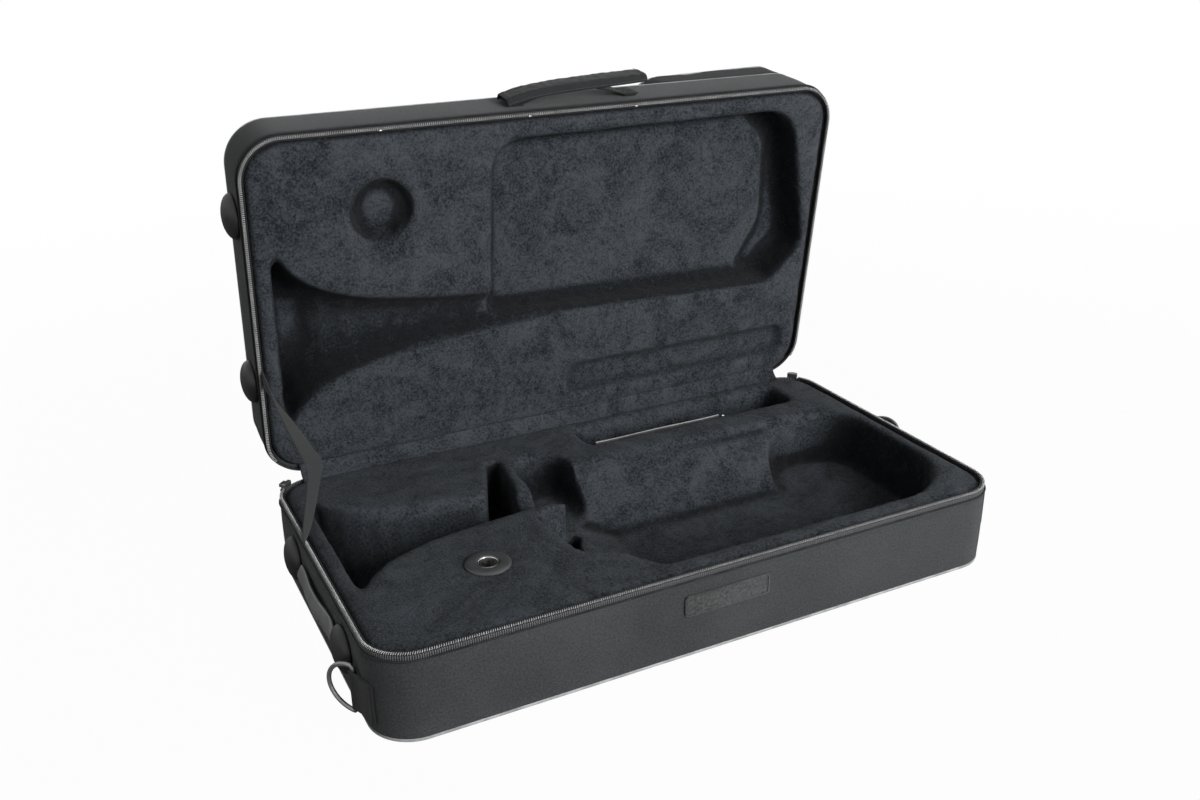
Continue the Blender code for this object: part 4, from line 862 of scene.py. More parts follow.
def lining(node, body, shaded_ways, shade):
    """The moulded lining: the frame's block with soft edges, a stirred surface and painted shade.
    """
    bm = bmesh.new()
    bm.from_mesh(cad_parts[node].data)
    bmesh.ops.remove_doubles(bm, verts=bm.verts, dist=1e-5)
    pad = piece(bm, node + "_plush", body, plush, "plush", node, closed=False)
    even = pad.modifiers.new("even squares", "REMESH")
    even.mode = "VOXEL"
    even.voxel_size = LINING_VOXEL
    settled(pad)
    bm = bmesh.new()
    bm.from_mesh(pad.data)
    for _ in range(LINING_SMOOTHING):
        bmesh.ops.smooth_vert(bm, verts=bm.verts, factor=0.5, use_axis_x=True, use_axis_y=True,
                              use_axis_z=True)
    bm.normal_update()
    bm.verts.index_update()
    shading = folds(bm)
    # Painted shade at each point: its folds, and walls that face the shaded ways.
    nap_and_painted_shade = [min(1.0, fold + shade * painted_wall_shade(vert.normal, shaded_ways))
           * (SLOT_SHADE_SHARE if body == "lid" and in_shallow_slot(vert.co) else 1.0)
           for vert, fold in zip(bm.verts, shading)]
    moves = []
    for vert, fold in zip(bm.verts, shading):
        bend = sum(abs(edge.calc_face_angle_signed(0.0)) for edge in vert.link_edges)
        swell = noise.noise(vert.co * 21.0) * 0.6 + noise.noise(vert.co * 47.0) * 0.4
        pucker = noise.noise(Vector((vert.co.x * 160, vert.co.y * 160, vert.co.z * 60)))
        crumple = noise.noise(vert.co * 75.0) + 0.5 * noise.noise(vert.co * 150.0)
        moves.append(vert.normal * (LINING_SWELL * swell + PUCKER * pucker * min(bend, 1.0)
                                    + CRUMPLE * crumple * fold))
    for vert, move in zip(bm.verts, moves):
        vert.co += move
    bm.to_mesh(pad.data)
    bm.free()
    # The attribute fold carries this painted shade to the plush's colour.
    kept = pad.data.attributes.new("fold", "FLOAT", "POINT")
    kept.data.foreach_set("value", nap_and_painted_shade)
    print("folded share", round(sum(shading) / len(shading), 3))
    pad.data.shade_smooth()
    pad.data.materials.clear()
    pad.data.materials.append(plush)
    print(pad.name, "polygons", len(pad.data.polygons))


# Painted shade falls on the walls that face these ways, with this strength.
lining("base_lining", "base", [RIGHT], 0.75)
lining("lid_lining", "lid", [RIGHT, LID_TURN.to_3x3() @ BACK], 1.15)

# %% [markdown]
# ## Turned pieces
# The mouthpiece socket, the feet and the rivet heads are round. Each is a line of points
# for half its section, spun about its axis and closed.

# %% Spin a section
def spun(section, steps=64):
    """Spins a line of (radius, height) points round the Z axis."""
    bm = bmesh.new()
    line = [bm.verts.new((radius, 0.0, height)) for radius, height in section]
    edges = [bm.edges.new(pair) for pair in zip(line, line[1:])]
    bmesh.ops.spin(bm, geom=line + edges, cent=(0, 0, 0), axis=(0, 0, 1), angle=math.tau,
                   steps=steps, use_merge=True, use_duplicate=False)
    bmesh.ops.remove_doubles(bm, verts=bm.verts, dist=1e-6)
    bmesh.ops.recalc_face_normals(bm, faces=bm.faces)
    return bm


def facing(place, out):
    """Stands a spun piece on a wall: its axis along the wall's outward direction."""
    out = Vector(out)
    side = UP.cross(out)
    return Matrix.Translation(place) @ Matrix((side, UP, out)).transposed().to_4x4()


LINING_DROP = 0.002
SOCKET = Vector((-0.578 * HALF_LENGTH, -0.427 * HALF_DEPTH, BASE_HEIGHT - LINING_DROP + FIT))
FLANGE_LINE = [(0.0101, 0.0004), (0.0101, 0.0), (0.0207, 0.0), (0.0210, 0.0003), (0.0210, 0.0008),
               (0.0206, 0.0013), (0.0186, 0.0022), (0.0176, 0.0024), (0.0118, 0.0026),
               (0.0106, 0.0024), (0.0102, 0.0020), (0.0101, 0.0012), (0.0101, 0.0004)]
SLEEVE_LINE = [(0.0088, -0.030), (0.0098, -0.030), (0.0098, 0.0016), (0.0096, 0.0020),
               (0.0092, 0.0021), (0.0089, 0.0018), (0.0088, 0.0012), (0.0088, -0.030)]
for part, line, stuff, slot in (("flange", FLANGE_LINE, flange_plastic, "flange_plastic"),
                                ("sleeve", SLEEVE_LINE, nickel, "nickel")):
    bm = spun(line, 96)
    bmesh.ops.translate(bm, vec=SOCKET, verts=bm.verts)
    piece(bm, "socket_" + part, "base", stuff, slot, "mouthpiece_" + part)

# %% [markdown]
# Each foot is a solid rubber dome, low and wide like a lens, that lies flat on the end wall.

# %% Feet
FOOT_REACH = 0.0216
DOME_STEPS = 14
FOOT_EDGE = 0.0014
FOOT_DOME = 0.0116
foot_line = [(0.0, 0.0), (FOOT_REACH - 0.0003, 0.0), (FOOT_REACH, 0.0004)]
for step in range(DOME_STEPS + 1):
    angle = math.pi / 2 * step / DOME_STEPS
    foot_line.append((FOOT_REACH * math.cos(angle),
                      FOOT_EDGE + (FOOT_DOME - FOOT_EDGE) * math.sin(angle)))
BASE_FOOT_Z = 0.57 * BASE_HEIGHT
LID_FOOT_Z = CLOSED_HEIGHT - 0.51 * LID_HEIGHT
for half, end, share, z in (("base", "rear", 0.449, BASE_FOOT_Z),
                            ("base", "front", -0.506, BASE_FOOT_Z),
                            ("lid", "rear", 0.438, LID_FOOT_Z),
                            ("lid", "front", -0.545, LID_FOOT_Z)):
    bm = spun(foot_line, 64)
    place = (-HALF_LENGTH - FIT, share * HALF_DEPTH, z)
    bmesh.ops.transform(bm, matrix=facing(place, -RIGHT), verts=bm.verts)
    piece(bm, f"{half}_foot_{end}_dome", half, rubber, "rubber", f"{half}_foot_{end}")
print("feet done")

# %% [markdown]
# ## Side handles
# Each end wall has a small grip: a moulded vinyl strip with a crowned middle, held by a
# domed rivet through each end. The left one lies almost flat on its wall, and the right one
# stands off and bows upwards.

# %% Side handles and rivets
GRIP_SPAN = 0.1041
GRIP_FOOT = 0.013
GRIP_WIDTH = 0.026
GRIP_STEPS = 48
GRIP_CROWN = 0.0040


def side_grip(side, arch, lift, y, z):
    """The path of a grip on an end wall, and its width at each place."""
    wall = HALF_LENGTH + FIT + 0.0015
    length, free = GRIP_SPAN + GRIP_FOOT, GRIP_SPAN - GRIP_FOOT
    path, widths = [], []
    for step in range(GRIP_STEPS + 1):
        along = length * (step / GRIP_STEPS - 0.5)
        t = min(max((along + free / 2) / free, 0.0), 1.0)
        rise = (1 - math.cos(math.tau * t)) / 2
        stand = 1 - (1 - rise) ** 1.5
        path.append(Vector((side * (wall + arch * stand), y + along, z + lift * rise)))
        edge = max(0.0, 1 - (length / 2 - abs(along)) / (GRIP_FOOT * 0.55))
        widths.append(GRIP_WIDTH * math.sqrt(max(0.12, 1 - edge ** 2)))
    return path, widths


RIVET_LINE = [(0.0, 0.0), (0.0040, 0.0), (0.0042, 0.0003), (0.0040, 0.0008), (0.0034, 0.0013),
              (0.0022, 0.0017), (0.0, 0.0018)]
for side, where, arch, lift, y_share, z_share in ((-1, "left", 0.0026, 0.0, -0.0285, 0.53),
                                                  (1, "right", 0.017, 0.010, 0.100, 0.64)):
    y, z = y_share * HALF_DEPTH, z_share * BASE_HEIGHT
    path, widths = side_grip(side, arch, lift, y, z)
    bm = strip(path, UP * side, 1.0, cells=10)
    rows = {round(1e6 * place.y): (place, width) for place, width in zip(path, widths)}
    for vert in bm.verts:
        place, width = rows[round(1e6 * vert.co.y)]
        away = vert.co.z - place.z
        vert.co = place + Vector((side * GRIP_CROWN * (1 - (2 * away) ** 2), 0.0, away * width))
    grip = piece(bm, where + "_grip", "base", vinyl, "vinyl", where + "_side_handle")
    thickened(grip, 0.0026, offset=0.0, edge=0.0008, segments=3)
    seams = bmesh.new()
    for share in (-0.40, 0.40):
        row = [place + Vector((side * 0.0021, 0.0, share * width))
               for place, width in zip(path, widths)]
        one_in_each(seams, row[4:-3], RIGHT * side, 0.0019)
    piece(seams, where + "_grip_stitches", "base", thread, "vinyl")
    for end, place in ((-1, "front"), (1, "rear")):
        bm = spun(RIVET_LINE, 32)
        spot = (side * (HALF_LENGTH + FIT + 0.0036), y + end * GRIP_SPAN / 2, z)
        bmesh.ops.transform(bm, matrix=facing(spot, RIGHT * side), verts=bm.verts)
        piece(bm, f"{where}_grip_rivet_{place}", "base", nickel, "nickel",
              f"{where}_side_handle_rivet_{place}")
print("side handles done")

# %% [markdown]
# ## Rings and their tabs
# A shoulder strap clips to a D-ring at each end. The ring's bar lies in a fold of webbing
# that is sewn to the wall round the front corner. The ring is bent wire, so it is a tube
# along a closed path and swings with its own body.

# %% D-rings and tabs
RING_WIRE = 0.002
RING_PLAY = 0.0004
RING_DEPTH = 0.026
RING_REST = math.radians(33)
WEBBING = 0.0012
TAB_WIDTH = 0.038
TAB_REACH = 0.018


def end_wall_point(side, distance, stand):
    """A point off the end wall, at a distance past the start of the front corner's arc."""
    if distance <= 0:
        return Vector((side * (HALF_LENGTH + stand), -HALF_DEPTH + CORNER_RADIUS - distance, 0.0))
    angle = distance / CORNER_RADIUS
    reach = CORNER_RADIUS + stand
    return Vector((side * (HALF_LENGTH - CORNER_RADIUS + reach * math.cos(angle)),
                   -HALF_DEPTH + CORNER_RADIUS - reach * math.sin(angle), 0.0))


for side, where, z in ((-1, "left", 0.38 * BASE_HEIGHT), (1, "right", 0.60 * BASE_HEIGHT)):
    bar = Vector((side * (HALF_LENGTH + FIT + WEBBING + RING_PLAY + RING_WIRE),
                  -HALF_DEPTH + CORNER_RADIUS + 0.010, z))
    swing = Vector((side * math.sin(RING_REST), math.cos(RING_REST), 0.0))
    half = TAB_WIDTH / 2 + 0.0015 + RING_WIRE
    wire = [bar + UP * (half * (step / 8 - 1) * 0.9) for step in range(17)]
    for step in range(41):
        angle = math.pi / 2 - math.pi * step / 40
        wire.append(bar + UP * (half * math.sin(angle))
                    + swing * (RING_WIRE + RING_DEPTH * math.cos(angle)))
    piece(tube(wire, RING_WIRE, closed=True, sides=5), where + "_ring_wire", where + "_ring",
          ring_steel, "nickel", where + "_ring")
    low, high = FIT + WEBBING / 2, 2 * FIT + WEBBING * 1.5
    lie = [TAB_REACH * step / 12 for step in range(12, -1, -1)] + [-0.0033]
    path = [end_wall_point(side, distance, low) for distance in lie]
    fold = RING_WIRE + RING_PLAY + WEBBING / 2
    for step in range(17):
        angle = math.radians(240) * step / 16 - math.pi / 2
        path.append(bar - UP * z + fold * Vector((side * math.sin(angle), math.cos(angle), 0.0)))
    path += [end_wall_point(side, distance, high) for distance in reversed(lie[:-1])]
    path = [place + UP * z for place in path]
    strap(where + "_tab_webbing", "base", webbing, "webbing", path, UP, TAB_WIDTH, WEBBING,
          where + "_ring_tab", cells=6)
    # A dark cord across the tab's end is painted shadow at its edge.
    end_shadow = [end_wall_point(side, 0.0187, 0.0016) + UP * (z + TAB_WIDTH * share)
           for share in (-0.5, 0.0, 0.5)]
    piece(tube(end_shadow, 0.0016), where + "_tab_end_shadow", "base", dark_thread_and_shadow, "webbing")
    bm = bmesh.new()
    for share in (-0.42, 0.42):
        one_in_each(bm, [end_wall_point(side, 0.0155 * step / 5 + 0.001, high + WEBBING / 2)
                         + UP * (z + share * TAB_WIDTH) for step in range(6)], RIGHT * side)
    for distance in (0.002, 0.0165):
        spot = end_wall_point(side, distance, high + WEBBING / 2)
        out = end_wall_point(side, distance, 1.0) - end_wall_point(side, distance, 0.0)
        seam(bm, spot + UP * (z - 0.016), spot + UP * (z + 0.016), out)
    piece(bm, where + "_tab_stitches", "base", thread, "webbing")
print("rings done")

# %% [markdown]
# ## Cloth that crosses the hinge
# Three pieces belong to both halves: the fabric hinge along the back, the plush inside it,
# and the webbing stay on the left, which keeps the lid from falling over.

# %% Opened places and soft paths
def opened(point):
    """Takes a place on the closed lid to where it lies with the lid open."""
    return LID_TURN @ Vector(point)


def smooth_path(values, steps):
    """A cubic B-spline through the run of a list of vectors."""
    ends = [values[0] * 2 - values[1], *values, values[-1] * 2 - values[-2]]
    points = []
    for a, b, c, d in zip(ends, ends[1:], ends[2:], ends[3:]):
        for step in range(steps):
            t = step / steps
            near, far = 3 * t ** 3 - 6 * t ** 2 + 4, 3 * (1 - t) ** 3 - 6 * (1 - t) ** 2 + 4
            points.append((a * (1 - t) ** 3 + b * near + c * far + d * t ** 3) / 6)
    return points + [values[-1]]


# %% Fabric hinge
HINGE_CLOTH = 0.001
HINGE_OVERLAP = 0.024
FOLD = 0.004
y = HALF_DEPTH + FIT + HINGE_CLOTH / 2
corner = Vector((0.0, y, BASE_HEIGHT))
lid_end = opened((0.0, y, BASE_HEIGHT + HINGE_OVERLAP))
lid_way = (lid_end - opened(corner)).normalized()
radius = FOLD / math.tan(LID_ANGLE / 2)
centre = corner - UP * FOLD + Vector((0.0, radius, 0.0))
path = [corner - UP * (HINGE_OVERLAP - 0.004 * step) for step in range(5)]
for step in range(13):
    turn = LID_ANGLE * step / 12
    path.append(centre + radius * Vector((0.0, -math.cos(turn), math.sin(turn))))
path += [path[-1] + lid_way * FOLD, lid_end]
bm = strip(path, RIGHT, 2 * case.run_x, cells=60)
for vert in bm.verts:
    vert.co.y += 0.00025 * noise.noise(vert.co * 60.0)
hinge_cloth = piece(bm, "hinge_cloth", None, nylon, "nylon")
thickened(hinge_cloth, HINGE_CLOTH, edge=0.0002)
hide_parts("hinge_strip")
centre + Vector((0, -radius, -0.001))
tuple(path[-2])
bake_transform(hinge_cloth)
for half, side in (("base", -1), ("lid", 1)):
    bm = bmesh.new()
    place = Vector((-case.run_x + 0.004, HALF_DEPTH + FIT + HINGE_CLOTH,
                    BASE_HEIGHT + side * (HINGE_OVERLAP - 0.003)))
    seam(bm, place, place + RIGHT * (2 * case.run_x - 0.008), BACK)
    piece(bm, half + "_hinge_stitches", half, thread, "nylon")

# %% [markdown]
# Inside, the plush runs on from the base over the hinge into the lid, so that no board or
# bare cloth is seen between the two linings.

# %% Plush over the hinge
PLUSH_LAP = 0.0062
from_base = Vector((0.0, HALF_DEPTH - PLUSH_LAP, BASE_HEIGHT - 0.0030))
to_lid = opened((0.0, HALF_DEPTH - PLUSH_LAP, BASE_HEIGHT + 0.0030))
sag = from_base.lerp(to_lid, 0.5) + Vector((0.0, 0.0012, -0.0016))
path = smooth_path([from_base + Vector((0.0, -0.004, -0.002)), from_base, sag, to_lid,
                    to_lid + Vector((0.0, 0.002, 0.004))], 6)
bm = strip(path, RIGHT, 2 * case.run_x + 0.020, cells=160)
for vert in bm.verts:
    vert.co += Vector((0.0, 0.4, 1.0)) * 0.0006 * noise.noise(vert.co * 55.0)
hinge_plush = piece(bm, "hinge_plush", None, plush, "plush")
thickened(hinge_plush, 0.0012)
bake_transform(hinge_plush)

# %% [markdown]
# The stay is a webbing strap from the left rim of the base to that of the lid. It is slack,
# so it is creased once on its way up and turns its face there and back. Its path and the way
# across it are each a few vectors, and the same kind of curve smooths both.

# %% Stay strap
STAY_WIDTH = 0.018
STAY_THICKNESS = 0.0011
STAY_BASE_Y = 0.258 * HALF_DEPTH
STAY_LID_Y = 0.343 * HALF_DEPTH
STAY_LEAD = 0.010
STAY_CREASE = Vector((0.0125, -0.014, 0.088))
x = -HALF_LENGTH + (TAPE_MIDDLE + TAPE_THICKNESS / 2 + WALL + FIT) / 2 + FIT * 2
lid_rim = BASE_HEIGHT + RIM_BAND - FIT
start = Vector((x, STAY_BASE_Y, BASE_HEIGHT - RIM_BAND + FIT))
crease = start + STAY_CREASE
end = opened((x, STAY_LID_Y, lid_rim))
end_lead = opened((x, STAY_LID_Y, BASE_HEIGHT - STAY_LEAD))
way_up = (end_lead - crease).normalized()
turned_lid = (opened((x, STAY_LID_Y + STAY_LEAD, lid_rim)) - end).normalized()
values = [start, start + UP * STAY_LEAD / 2, start + UP * STAY_LEAD, start.lerp(crease, 0.45),
          crease - UP * STAY_LEAD, crease, crease + way_up * STAY_LEAD,
          crease.lerp(end_lead, 0.55), end_lead, (end_lead + end) / 2, end]
twists = [(BACK, 0.0), (BACK, 0.25), (BACK, 0.45), (BACK, 0.55), (BACK, 0.6), (BACK, 0.7),
          (turned_lid, 0.7), (turned_lid, 0.55)] + [(turned_lid, 0.0)] * 3
sides = [side.lerp(RIGHT, share).normalized() for side, share in twists]
stay = strap("stay_webbing", None, webbing, "webbing", smooth_path(values, 10),
             smooth_path(sides, 10), STAY_WIDTH, STAY_THICKNESS, cells=6)
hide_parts("stay_strap")
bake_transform(stay)
print("hinge and stay done")

# %% [markdown]
# ## The accessory slot's strip
# A vinyl strip with bound edges stands in the slot and ends in a wire hook. The frame's
# hook has the right shape and stays, with a nickel finish.

# %% Slot strip
BAND_LEFT, BAND_LENGTH, BAND_HIGH = 0.01385, 0.158, 0.018
BAND_BOW, BAND_SAG, BAND_STEPS = 0.0035, 0.0018, 48
STRIP_THICKNESS, STRIP_HIGH, STRIP_DROP, STRIP_LEAN = 0.0018, 0.014, 0.005, 0.2
y = 0.607 * HALF_DEPTH + 2 * FIT + (STRIP_THICKNESS + STRIP_HIGH * STRIP_LEAN) / 2
z = BASE_HEIGHT - LINING_DROP - STRIP_DROP - STRIP_HIGH + BAND_HIGH / 2
path = []
for step in range(BAND_STEPS + 1):
    bow = math.sin(math.pi * step / BAND_STEPS)
    path.append(Vector((BAND_LEFT + BAND_LENGTH * step / BAND_STEPS, y + BAND_BOW * bow ** 2,
                        z - BAND_SAG * bow)))
lean = Vector((0.0, STRIP_LEAN, 1.0)).normalized()
strap("slot_band", "base", band_vinyl, "vinyl", path, lean, BAND_HIGH * 0.98, 0.0012, "slot_strap",
      cells=8)
for share, name in ((0.46, "upper"), (-0.46, "lower")):
    bm = tube([place + lean * (BAND_HIGH * share) for place in path], 0.0007)
    piece(bm, f"slot_band_{name}_binding", "base", vinyl, "vinyl")
print("slot strip", round(1000 * BAND_LENGTH), "mm long")

# %% [markdown]
# ## The label patch
# The patch on the front is sewn cloth with a raised border. It is left bare.

# %% Label
LABEL_Z = 0.63 * BASE_HEIGHT
LABEL_RIM = ((0.0004, 0.0), (0.0012, 0.0005), (0.0005, -0.0010))
CORNERS = ((-1, -1), (1, -1), (1, 1), (-1, 1))
bm = bmesh.new()
place = Matrix.Translation((0, -HALF_DEPTH - FIT - 0.0006, LABEL_Z))
bmesh.ops.create_cube(bm, size=1.0, matrix=place @ Matrix.Diagonal((0.089, 0.0012, 0.021, 1)))
uprights = [edge for edge in bm.edges if abs(edge.verts[0].co.y - edge.verts[1].co.y) > 0.0006]
bevelled(bm, uprights, 0.0034, 6)
bm.normal_update()
front = [face for face in bm.faces if face.normal.y < -0.9]
for inwards, depth in LABEL_RIM:
    bmesh.ops.inset_region(bm, faces=front, thickness=inwards, depth=depth, use_even_offset=True)
laid_out(bm, lambda place: (place.x, place.z))
piece(bm, "label_cloth", "base", label_cloth, "vinyl", "label_patch")
bm = bmesh.new()
corners = [Vector((a * 0.0430, -HALF_DEPTH - FIT - 0.0013, LABEL_Z + b * 0.0090))
           for a, b in CORNERS]
for here, there in zip(corners, corners[1:] + corners[:1]):
    seam(bm, here, there, -BACK, 0.0024, (0.0018, 0.0005, 0.0004))
piece(bm, "label_stitches", "base", dark_thread_and_shadow, "vinyl")
print("label done")

# %% [markdown]
# ## The carrying handle
# Webbing is sewn flat to the lid's front at two anchors and rises between them. A padded
# cloth wrap is folded over it, open towards the case. The wrap rides on its own body,
# because it lifts when the case is carried.

# %% Carrying handle
HANDLE_X = 0.054 * HALF_LENGTH
HANDLE_SHIFT = 0.0035
HANDLE_Z = CLOSED_HEIGHT - 0.51 * LID_HEIGHT + HANDLE_SHIFT
HANDLE_SPAN = 0.140
ANCHOR = 0.026
HANDLE_RISE = 0.011
ANCHOR_SHOWN = 0.014
SHOWN_WIDTH = 0.024
WRAP_LENGTH = 0.155
WRAP_RISE = 0.0095
WRAP_TIP = 0.0045


def handle_rise(along):
    """How far the webbing stands off the lid at a distance from its middle."""
    share = along / (HANDLE_SPAN - ANCHOR) + 0.5
    return HANDLE_RISE * math.sin(math.pi * share) if 0 < share < 1 else 0.0


def wrap_rise(along):
    """How far the wrap stands off: its left end droops and its right end stays up."""
    short = min(max(0.5 - along / WRAP_LENGTH, 0.0), 1.0)
    return WRAP_RISE * (1 - short ** 5) + WRAP_TIP * (1 - short) ** 2


# The handle's webbing and anchors use the darker copy: painted shade under the wrap.
seat = -HALF_DEPTH - 2 * FIT - WEBBING * 1.5
half = HANDLE_SPAN / 2 + 0.002
for side, where in ((-1, "left"), (1, "right")):
    along = [half * (1 - step / 30) for step in range(31)]
    path = [Vector((HANDLE_X + side * place, seat - handle_rise(place), HANDLE_Z))
            for place in along]
    lifted = strap(where + "_carry_webbing", None, shaded_webbing, "webbing", path, UP, SHOWN_WIDTH,
                   WEBBING, cells=4, edge=0.0, closed=True)
    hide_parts("handle_webbing")
    opened(path[8])
    opened(path[-3])
    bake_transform(lifted)
for side, where in ((-1, "left"), (1, "right")):
    middle = HANDLE_X + side * (HANDLE_SPAN - ANCHOR_SHOWN) / 2
    path = [Vector((middle + ANCHOR_SHOWN * (step / 8 - 0.5), -HALF_DEPTH - FIT - WEBBING / 2,
                    HANDLE_Z)) for step in range(9)]
    strap(where + "_anchor_webbing", "lid", shaded_webbing, "webbing", path, UP, SHOWN_WIDTH, WEBBING,
          "handle_anchor_" + where, cells=4)
    bm = bmesh.new()
    box = [Vector((middle + a * 0.005, seat - WEBBING / 2, HANDLE_Z + b * 0.0100))
           for a, b in CORNERS]
    for here, there in ((0, 1), (1, 2), (2, 3), (3, 0), (0, 2), (1, 3)):
        seam(bm, box[here], box[there], -BACK)
    piece(bm, where + "_anchor_stitches", "lid", thread, "webbing")

# %% [markdown]
# The wrap is a flat sheet bent to a U over the webbing. Its grid is laid out flat for the
# UV map, then bent, crowned and wrinkled across, as a wrap is that is gripped. Its thickness
# and its stitches come last.

# %% Handle wrap
WRAP_HALF = 0.0145
WRAP_HOLLOW = 0.0052
WRAP_THICKNESS = 0.0022
SHOULDER = 0.0048
WRAP_FLAT = 0.052
WRAP_PLACE = Vector((HANDLE_X + 0.0035, -HALF_DEPTH - FIT, HANDLE_Z))


def wrap_section(share):
    """A place on the wrap's U, from one free edge over the top to the other."""
    side = WRAP_HALF - WRAP_THICKNESS / 2
    top = WRAP_HOLLOW + WRAP_THICKNESS / 2
    leg, arc = top - SHOULDER, SHOULDER * math.pi / 2
    flat = 2 * (side - SHOULDER)
    walk = (share + 0.5) * (2 * leg + 2 * arc + flat)
    mirrored = walk > leg + arc + flat / 2
    walk = min(walk, 2 * leg + 2 * arc + flat - walk)
    if walk < leg:
        up, out = -side, walk
    elif walk < leg + arc:
        angle = (walk - leg) / SHOULDER
        up, out = -side + SHOULDER * (1 - math.cos(angle)), leg + SHOULDER * math.sin(angle)
    else:
        up, out = -side + SHOULDER + walk - leg - arc, top
    return (-up if mirrored else up), out


def on_wrap(along, across):
    """A place on the wrap's cloth, and how far up it lies from the wrap's middle."""
    up, out = wrap_section(across)
    return WRAP_PLACE + Vector((along, -wrap_rise(along) - out, up)), up


bm = bmesh.new()
bmesh.ops.create_grid(bm, x_segments=90, y_segments=36, size=0.5)
laid_out(bm, lambda place: (place.x * WRAP_LENGTH, place.y * WRAP_FLAT))
for vert in bm.verts:
    share, across = vert.co.x, vert.co.y
    place, _ = on_wrap(share * WRAP_LENGTH, across)
    crown = 0.0012 * (1 - (2 * abs(across)) ** 2) * (1 - (2 * abs(share)) ** 6)
    crease = noise.noise(Vector((share * 26.0, across * 5.0, 4.0))) * 0.0007
    vert.co = place + Vector((0.0, -crown - crease * (1 - (2 * abs(across)) ** 4), 0.0))
wrap = piece(bm, "carry_wrap", "carry_handle", wrap_cloth, "nylon", "handle_wrap")
thickened(wrap, WRAP_THICKNESS * 0.8, edge=0.0008, segments=3)
bm = bmesh.new()
for across in (-0.44, 0.44):
    row = []
    for step in range(49):
        place, up = on_wrap(WRAP_LENGTH * (step / 48 - 0.5) * 0.96, across)
        out_way = Vector((0.0, -0.3, 1.0 if up > 0 else -1.0)).normalized()
        row.append((place + out_way * 0.0010, RIGHT, out_way))
    stitch_row(bm, row)
for end in (-1, 1):
    along = end * WRAP_LENGTH * 0.475
    stitch_row(bm, [(on_wrap(along, 0.72 * (step / 11 - 0.5))[0] - BACK * 0.0016, UP, -BACK)
                    for step in range(12)])
piece(bm, "carry_wrap_stitches", "carry_handle", thread, "nylon")
print("carrying handle done")

# %% [markdown]
# ## The pocket
# A flat zipped pocket lies at the front right of the lid's outer face. It is a tray like the
# two halves, turned over and closed, fullest at the right and flatter towards the left.

# %% Pocket
POCKET_HEIGHT = 0.040
POCKET_RIGHT = HALF_LENGTH - 0.0025
POCKET_LENGTH = 0.211
POCKET_FRONT = -HALF_DEPTH + 0.0025
POCKET_DEPTH = 0.230
POCKET_RADIUS = 0.036
POCKET_TAPER = 0.35
pocket = Outline(POCKET_LENGTH / 2, POCKET_DEPTH / 2, POCKET_RADIUS,
                 (POCKET_RIGHT - POCKET_LENGTH / 2, POCKET_FRONT + POCKET_DEPTH / 2))
POCKET_GROUND = CLOSED_HEIGHT + FIT


def swelled(bm):
    """Scales a pocket piece's height by the pocket's fullness there."""
    for vert in bm.verts:
        share = (POCKET_RIGHT - vert.co.x) / POCKET_LENGTH
        vert.co.z = POCKET_GROUND + (vert.co.z - POCKET_GROUND) * (1 - POCKET_TAPER * share ** 2)
    return bm


POCKET_TURN = (Matrix.Translation((0, 0, POCKET_GROUND + POCKET_HEIGHT))
               @ Matrix.Diagonal((1, 1, -1, 1)))
bm = tray(Outline(POCKET_LENGTH / 2, POCKET_DEPTH / 2, POCKET_RADIUS), POCKET_HEIGHT, PIPING_CUT)
bmesh.ops.translate(bm, vec=pocket.centre, verts=bm.verts)
turned_over(bm, POCKET_TURN)
swelled(bm)
bmesh.ops.holes_fill(bm, edges=[edge for edge in bm.edges if edge.is_boundary], sides=0)
bmesh.ops.triangulate(bm, faces=[face for face in bm.faces if len(face.verts) > 4])
panel = piece(bm, "pocket_cloth", "lid", pocket_nylon, "nylon", "pocket_panel", closed=False)
print("pocket panel on the closed lid, polygons", len(panel.data.polygons))

# %% [markdown]
# The pocket's cloth is slack, so its face swells between the piped edges. The panel is
# remeshed and inflated with Blender's cloth simulation, and a limit holds how far it may move
# a point.

# %% Slack cloth
POCKET_CAP = 0.0055
POCKET_VOXEL = 0.005
POCKET_PRESSURE = 3.0
SIMULATED_FRAMES = 20


def sewn_down(place):
    """1 near the piped edge and the lid, 0 on the free face and walls."""
    height = (place.z - POCKET_GROUND) / POCKET_HEIGHT
    edge = pocket.at(pocket.around(place))[0] - place
    inside = Vector((edge.x, edge.y, 0.0)).length
    return 1.0 if height < 0.15 or inside < 0.009 and height > 0.3 else 0.0


def inflated(obj):
    """Inflates a closed bag with the cloth simulation and limits how far each point moves."""
    even = obj.modifiers.new("even squares", "REMESH")
    even.mode = "VOXEL"
    even.voxel_size = POCKET_VOXEL
    settled(obj)
    flat = [vert.co.copy() for vert in obj.data.vertices]
    pinned = obj.vertex_groups.new(name="sewn")
    for vert in obj.data.vertices:
        pinned.add([vert.index], sewn_down(vert.co), "REPLACE")
    cloth = obj.modifiers.new("cloth", "CLOTH")
    cloth.settings.use_pressure = True
    cloth.settings.uniform_pressure_force = POCKET_PRESSURE
    cloth.settings.vertex_group_mass = "sewn"
    cloth.settings.effector_weights.gravity = 0.0
    cloth.settings.tension_stiffness = 12
    cloth.settings.bending_stiffness = 0.4
    cloth.point_cache.frame_start = 1
    cloth.point_cache.frame_end = SIMULATED_FRAMES
    for step in range(1, SIMULATED_FRAMES + 1):
        scene.frame_set(step)
    settled(obj)
    scene.frame_set(1)
    for vert, rest in zip(obj.data.vertices, flat):
        move = vert.co - rest
        if move.length > POCKET_CAP:
            vert.co = rest + move.normalized() * POCKET_CAP
    obj.vertex_groups.clear()


inflated(panel)
print("pocket panel after the swelling, polygons", len(panel.data.polygons))

# %% [markdown]
# A little noise stirs the cloth. Then it gets its weave's map and is turned open with the lid.

